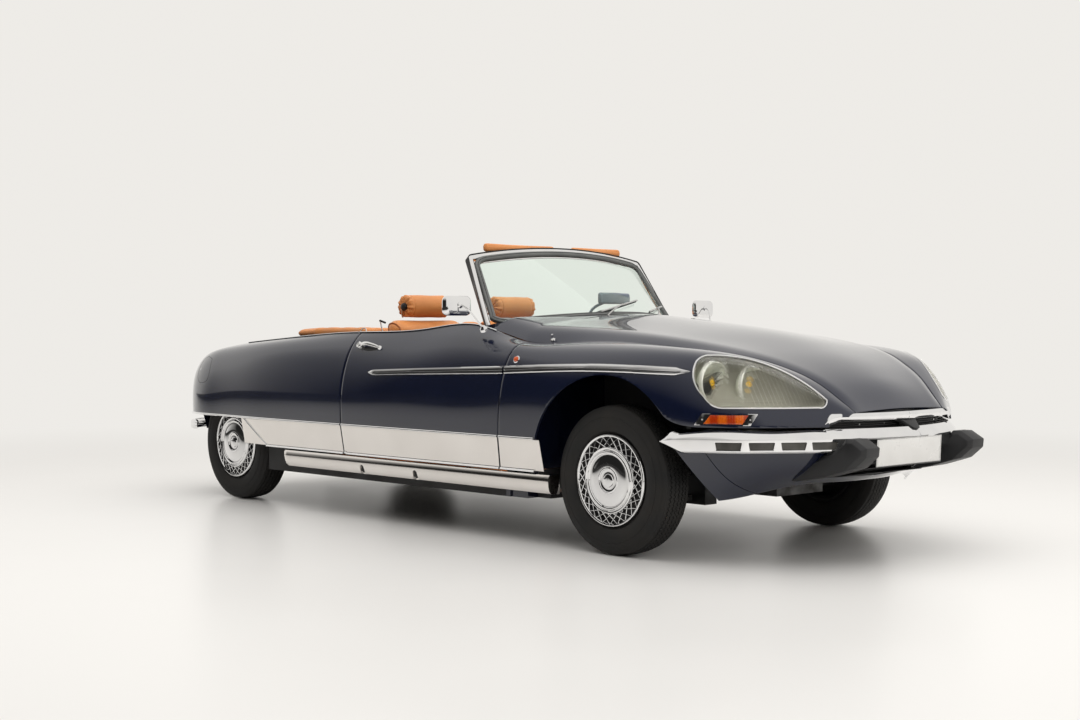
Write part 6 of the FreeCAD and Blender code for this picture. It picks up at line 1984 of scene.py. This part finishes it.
rear_blade = swept("rear_bumper_blade", rear_line, blade_section, smooth=30,
    facing=[Vector((p.x - (REAR - 0.2), p.y * 0.9, 0)).normalized() for p in rear_line])
dress(rear_blade, chrome, "chassis", ["rear_bumper"])
stays = [soft_block("stay", (REAR - 0.672, side * 0.3 - 0.02, 0.4),
    (TAIL_FACE + 0.055, side * 0.3 + 0.02, 0.418), 0.002, 2) for side in (-1, 1)]
dress(joined("rear_bumper_stays", stays), black_plastic)
buffer = prism("rear_buffer_right", [(REAR - 0.64, -0.452, 0.372), (REAR - 0.672, -0.452, 0.38),
    (REAR - 0.6885, -0.452, 0.4), (REAR - 0.6885, -0.452, 0.452), (REAR - 0.676, -0.452, 0.486),
    (REAR - 0.652, -0.452, 0.494), (REAR - 0.636, -0.452, 0.45)], (0, 0.056, 0))
both(finished(rounded(buffer, 0.006, 3)), black_rubber)

# A tall lamp cluster in each corner: an indicator over the tail and brake lamp.
LAMP_IN, LAMP_OUT, LAMP_LOW, LAMP_HIGH = -0.47, -0.566, 0.612, 0.774
tub = soft_block("tail_lamp_tub_right", (TAIL_FACE - 0.004, LAMP_OUT, LAMP_LOW),
    (TAIL_FACE + 0.07, LAMP_IN, LAMP_HIGH), 0.01, 4)
both(tub, chrome)
for name, low, high, finish in (("tail_lens_right", 0.62, 0.706, red_lens),
        ("rear_indicator_right", 0.712, 0.766, amber)):
    lens = soft_block(name, (TAIL_FACE - 0.016, LAMP_OUT + 0.008, low),
        (TAIL_FACE + 0.01, LAMP_IN - 0.008, high), 0.008, 4)
    both(lens, finish)
ribs = [soft_block("rib", (TAIL_FACE - 0.0185, LAMP_OUT + 0.014, z),
    (TAIL_FACE - 0.012, LAMP_IN - 0.014, z + 0.0035), 0.0012, 2)
    for z in (0.634, 0.646, 0.658, 0.67, 0.682, 0.694)]
both(joined("tail_lens_ribs_right", ribs), red_lens)
reflector_ring = dished("rear_reflector_rim_right", mm((0, 0), (0, 30), (8, 30), (10, 27), (8, 24.5), (4, 0)),
    (TAIL_FACE + 0.001, -0.518, 0.546), (-1, 0, 0), 40)
both(reflector_ring, chrome)
both(dished("rear_reflector_right", mm((0, 0), (0, 24), (9, 24), (12, 16), (13, 0)),
    (TAIL_FACE, -0.518, 0.546), (-1, 0, 0), 40), red_lens)

# On the boot lid: a blank plate with its lamps, the handle and its lock, and a bright bead at the foot.
LID_FACE = REAR - 0.615
plate = soft_block("rear_plate", (LID_FACE - 0.01, -0.262, 0.53), (LID_FACE - 0.007, 0.262, 0.642), 0.0012, 2)
dress(plate, blank_plate, "boot_lid")
rim_line = [Vector((LID_FACE - 0.009, y, z)) for y, z in ((-0.262, 0.536), (-0.256, 0.53), (0.256, 0.53),
    (0.262, 0.536), (0.262, 0.636), (0.256, 0.642), (-0.256, 0.642), (-0.262, 0.636))]
dress(tube("rear_plate_rim", rim_line, 0.003, 8, True, (1, 0, 0)), satin_chrome, "boot_lid")
mounts = [soft_block("plate_mount", (LID_FACE - 0.0072, side * 0.19 - 0.014, 0.56),
    (LID_FACE + 0.002, side * 0.19 + 0.014, 0.61), 0.002, 2) for side in (-1, 1)]
dress(joined("rear_plate_mounts", mounts), black_plastic, "boot_lid")
handle_bar = swept("boot_handle", smooth_path([(LID_FACE - 0.006, -0.085, 0.7),
    (LID_FACE - 0.03, -0.06, 0.702), (LID_FACE - 0.033, 0.0, 0.703), (LID_FACE - 0.03, 0.06, 0.702),
    (LID_FACE - 0.006, 0.085, 0.7)], 40), [(0.006 * math.cos(t), 0.011 * math.sin(t))
    for t in np.linspace(0, 2 * math.pi, 15)[:-1]])
feet = [dished("foot", mm((-10, 0), (-10, 16), (3, 15), (8, 9), (9, 0)), (LID_FACE, side * 0.085, 0.7),
    (-1, 0, 0), 24) for side in (-1, 1)]
lock = dished("boot_lock", mm((-10, 0), (-10, 12), (4, 12), (6, 9), (4.5, 7), (4.5, 0)),
    (LID_FACE, 0.0, 0.668), (-1, 0, 0), 24)
dress(joined("boot_fittings", [handle_bar, lock] + feet), chrome, "boot_lid")
plate_lamps = [soft_block("plate_lamp", (LID_FACE - 0.03, side * 0.13 - 0.03, 0.648),
    (LID_FACE + 0.001, side * 0.13 + 0.03, 0.662), 0.005, 3) for side in (-1, 1)]
dress(joined("plate_lamps", plate_lamps), satin_chrome, "boot_lid")
foot_bead = [Vector((LID_FACE - 0.001, y, 0.509)) for y in np.linspace(-0.452, 0.452, 20)]
dress(swept("boot_foot_bead", foot_bead, mm((5, 4), (5, -4), (-4, -6), (-4, 6)), facing=[Vector((-1, 0, 0))]
    * 20), stainless, "boot_lid")


# ---------------------------------------------------------------- floor, light and camera
def floor_material():
    """Pale, faintly glossy floor that fades into the backdrop's white far away."""
    made, tree, shader = material("studio_floor", Roughness=0.3, Specular_IOR_Level=0.4)
    place = node(tree, "TexCoord").outputs["Object"]
    cloudy = noise(tree, place, 0.35, 3.0)
    blend(tree, cloudy.outputs["Fac"], (0.7, 0.688, 0.67), (0.725, 0.712, 0.694), shader.inputs["Base Color"])
    scuffs = noise(tree, place, 1.4, 2.0)
    tree.links.new(spread(tree, scuffs.outputs["Fac"], 0.3, 0.7, 0.285, 0.315), shader.inputs["Roughness"])
    away = node(tree, "VectorMath", {0: place}, operation="LENGTH")
    far = node(tree, "MapRange", {"Value": away.outputs["Value"]}, From_Min=2.6, From_Max=9.0,
        interpolation_type="SMOOTHSTEP")
    parts = node(tree, "SeparateXYZ", {0: place})
    near_side = spread(tree, parts.outputs["Y"], -5.5, -2.0, 0.04, 1.0)
    path = node(tree, "LightPath")
    shown = node(tree, "Math", {0: path.outputs["Is Camera Ray"], 1: near_side}, operation="MAXIMUM")
    glow = node(tree, "Emission", {"Strength": shown.outputs[0]}, Color=rgb(*BACKDROP))
    fade = node(tree, "MixShader")
    for place, source in enumerate((far, shader, glow)):
        tree.links.new(source.outputs[0], fade.inputs[place])
    tree.links.new(fade.outputs[0], tree.nodes["Material Output"].inputs[0])
    return made


BACKDROP = (0.855, 0.835, 0.8)
floor = block("studio_floor", (-60, -60, -0.02), (60, 60, 0))
floor.data.materials.append(floor_material())


def studio_world():
    """Pale all round for camera, glass and metal; darker on the side that faces the doors."""
    world = bpy.data.worlds.new("studio")
    world.use_nodes = True
    tree = world.node_tree
    tree.nodes.clear()
    way = node(tree, "TexCoord").outputs["Generated"]
    parts = node(tree, "SeparateXYZ", {0: way})
    dark_side = node(tree, "VectorMath", {0: way}, operation="DOT_PRODUCT")
    dark_side.inputs[1].default_value = Vector((-0.1, -0.985, -0.12)).normalized()
    dark = spread(tree, dark_side.outputs["Value"], 0.38, 0.66, 1.0, 0.02)
    sky = spread(tree, parts.outputs["Z"], 0.28, 0.8, 0.0, 0.8)
    bright = node(tree, "Math", {0: dark, 1: sky}, operation="MAXIMUM")
    path = node(tree, "LightPath")
    seen = node(tree, "Math", {0: path.outputs["Is Camera Ray"], 1: path.outputs["Is Transmission Ray"]},
        operation="MAXIMUM")
    strength = node(tree, "Mix", data_type="FLOAT")
    tree.links.new(seen.outputs[0], strength.inputs["Factor"])
    tree.links.new(bright.outputs[0], strength.inputs[2])
    strength.inputs[3].default_value = 1.0
    back = node(tree, "Background", {"Strength": strength.outputs[0]}, Color=rgb(*BACKDROP))
    out = node(tree, "OutputWorld")
    tree.links.new(back.outputs[0], out.inputs[0])
    bpy.context.scene.world = world


studio_world()


def softbox(name, place, target, width, depth, power):
    data = bpy.data.lights.new(name, "AREA")
    data.shape = "RECTANGLE"
    data.size = width
    data.size_y = depth
    data.energy = power
    lamp = bpy.data.objects.new(name, data)
    lamp.location = place
    lamp.visible_glossy = False
    lamp.rotation_euler = (Vector(target) - Vector(place)).to_track_quat("-Z", "Y").to_euler()
    bpy.context.scene.collection.objects.link(lamp)


softbox("overhead", (1.0, -0.5, 6.0), (0.5, 0, 0), 12.0, 8.0, 430)
softbox("front_fill", (7.0, -3.0, 3.4), (0.5, 0, 0.5), 4.0, 3.0, 90)

camera_data = bpy.data.cameras.new("camera")
camera_data.lens = 52.49
camera_data.sensor_width = 36
camera = bpy.data.objects.new("camera", camera_data)
camera.location = (6.126, -5.777, 0.99)
camera.rotation_euler = (math.radians(90 - 1.134), 0, math.radians(46.43))
bpy.context.scene.collection.objects.link(camera)
bpy.context.scene.camera = camera
bpy.context.scene.view_settings.view_transform = "Standard"
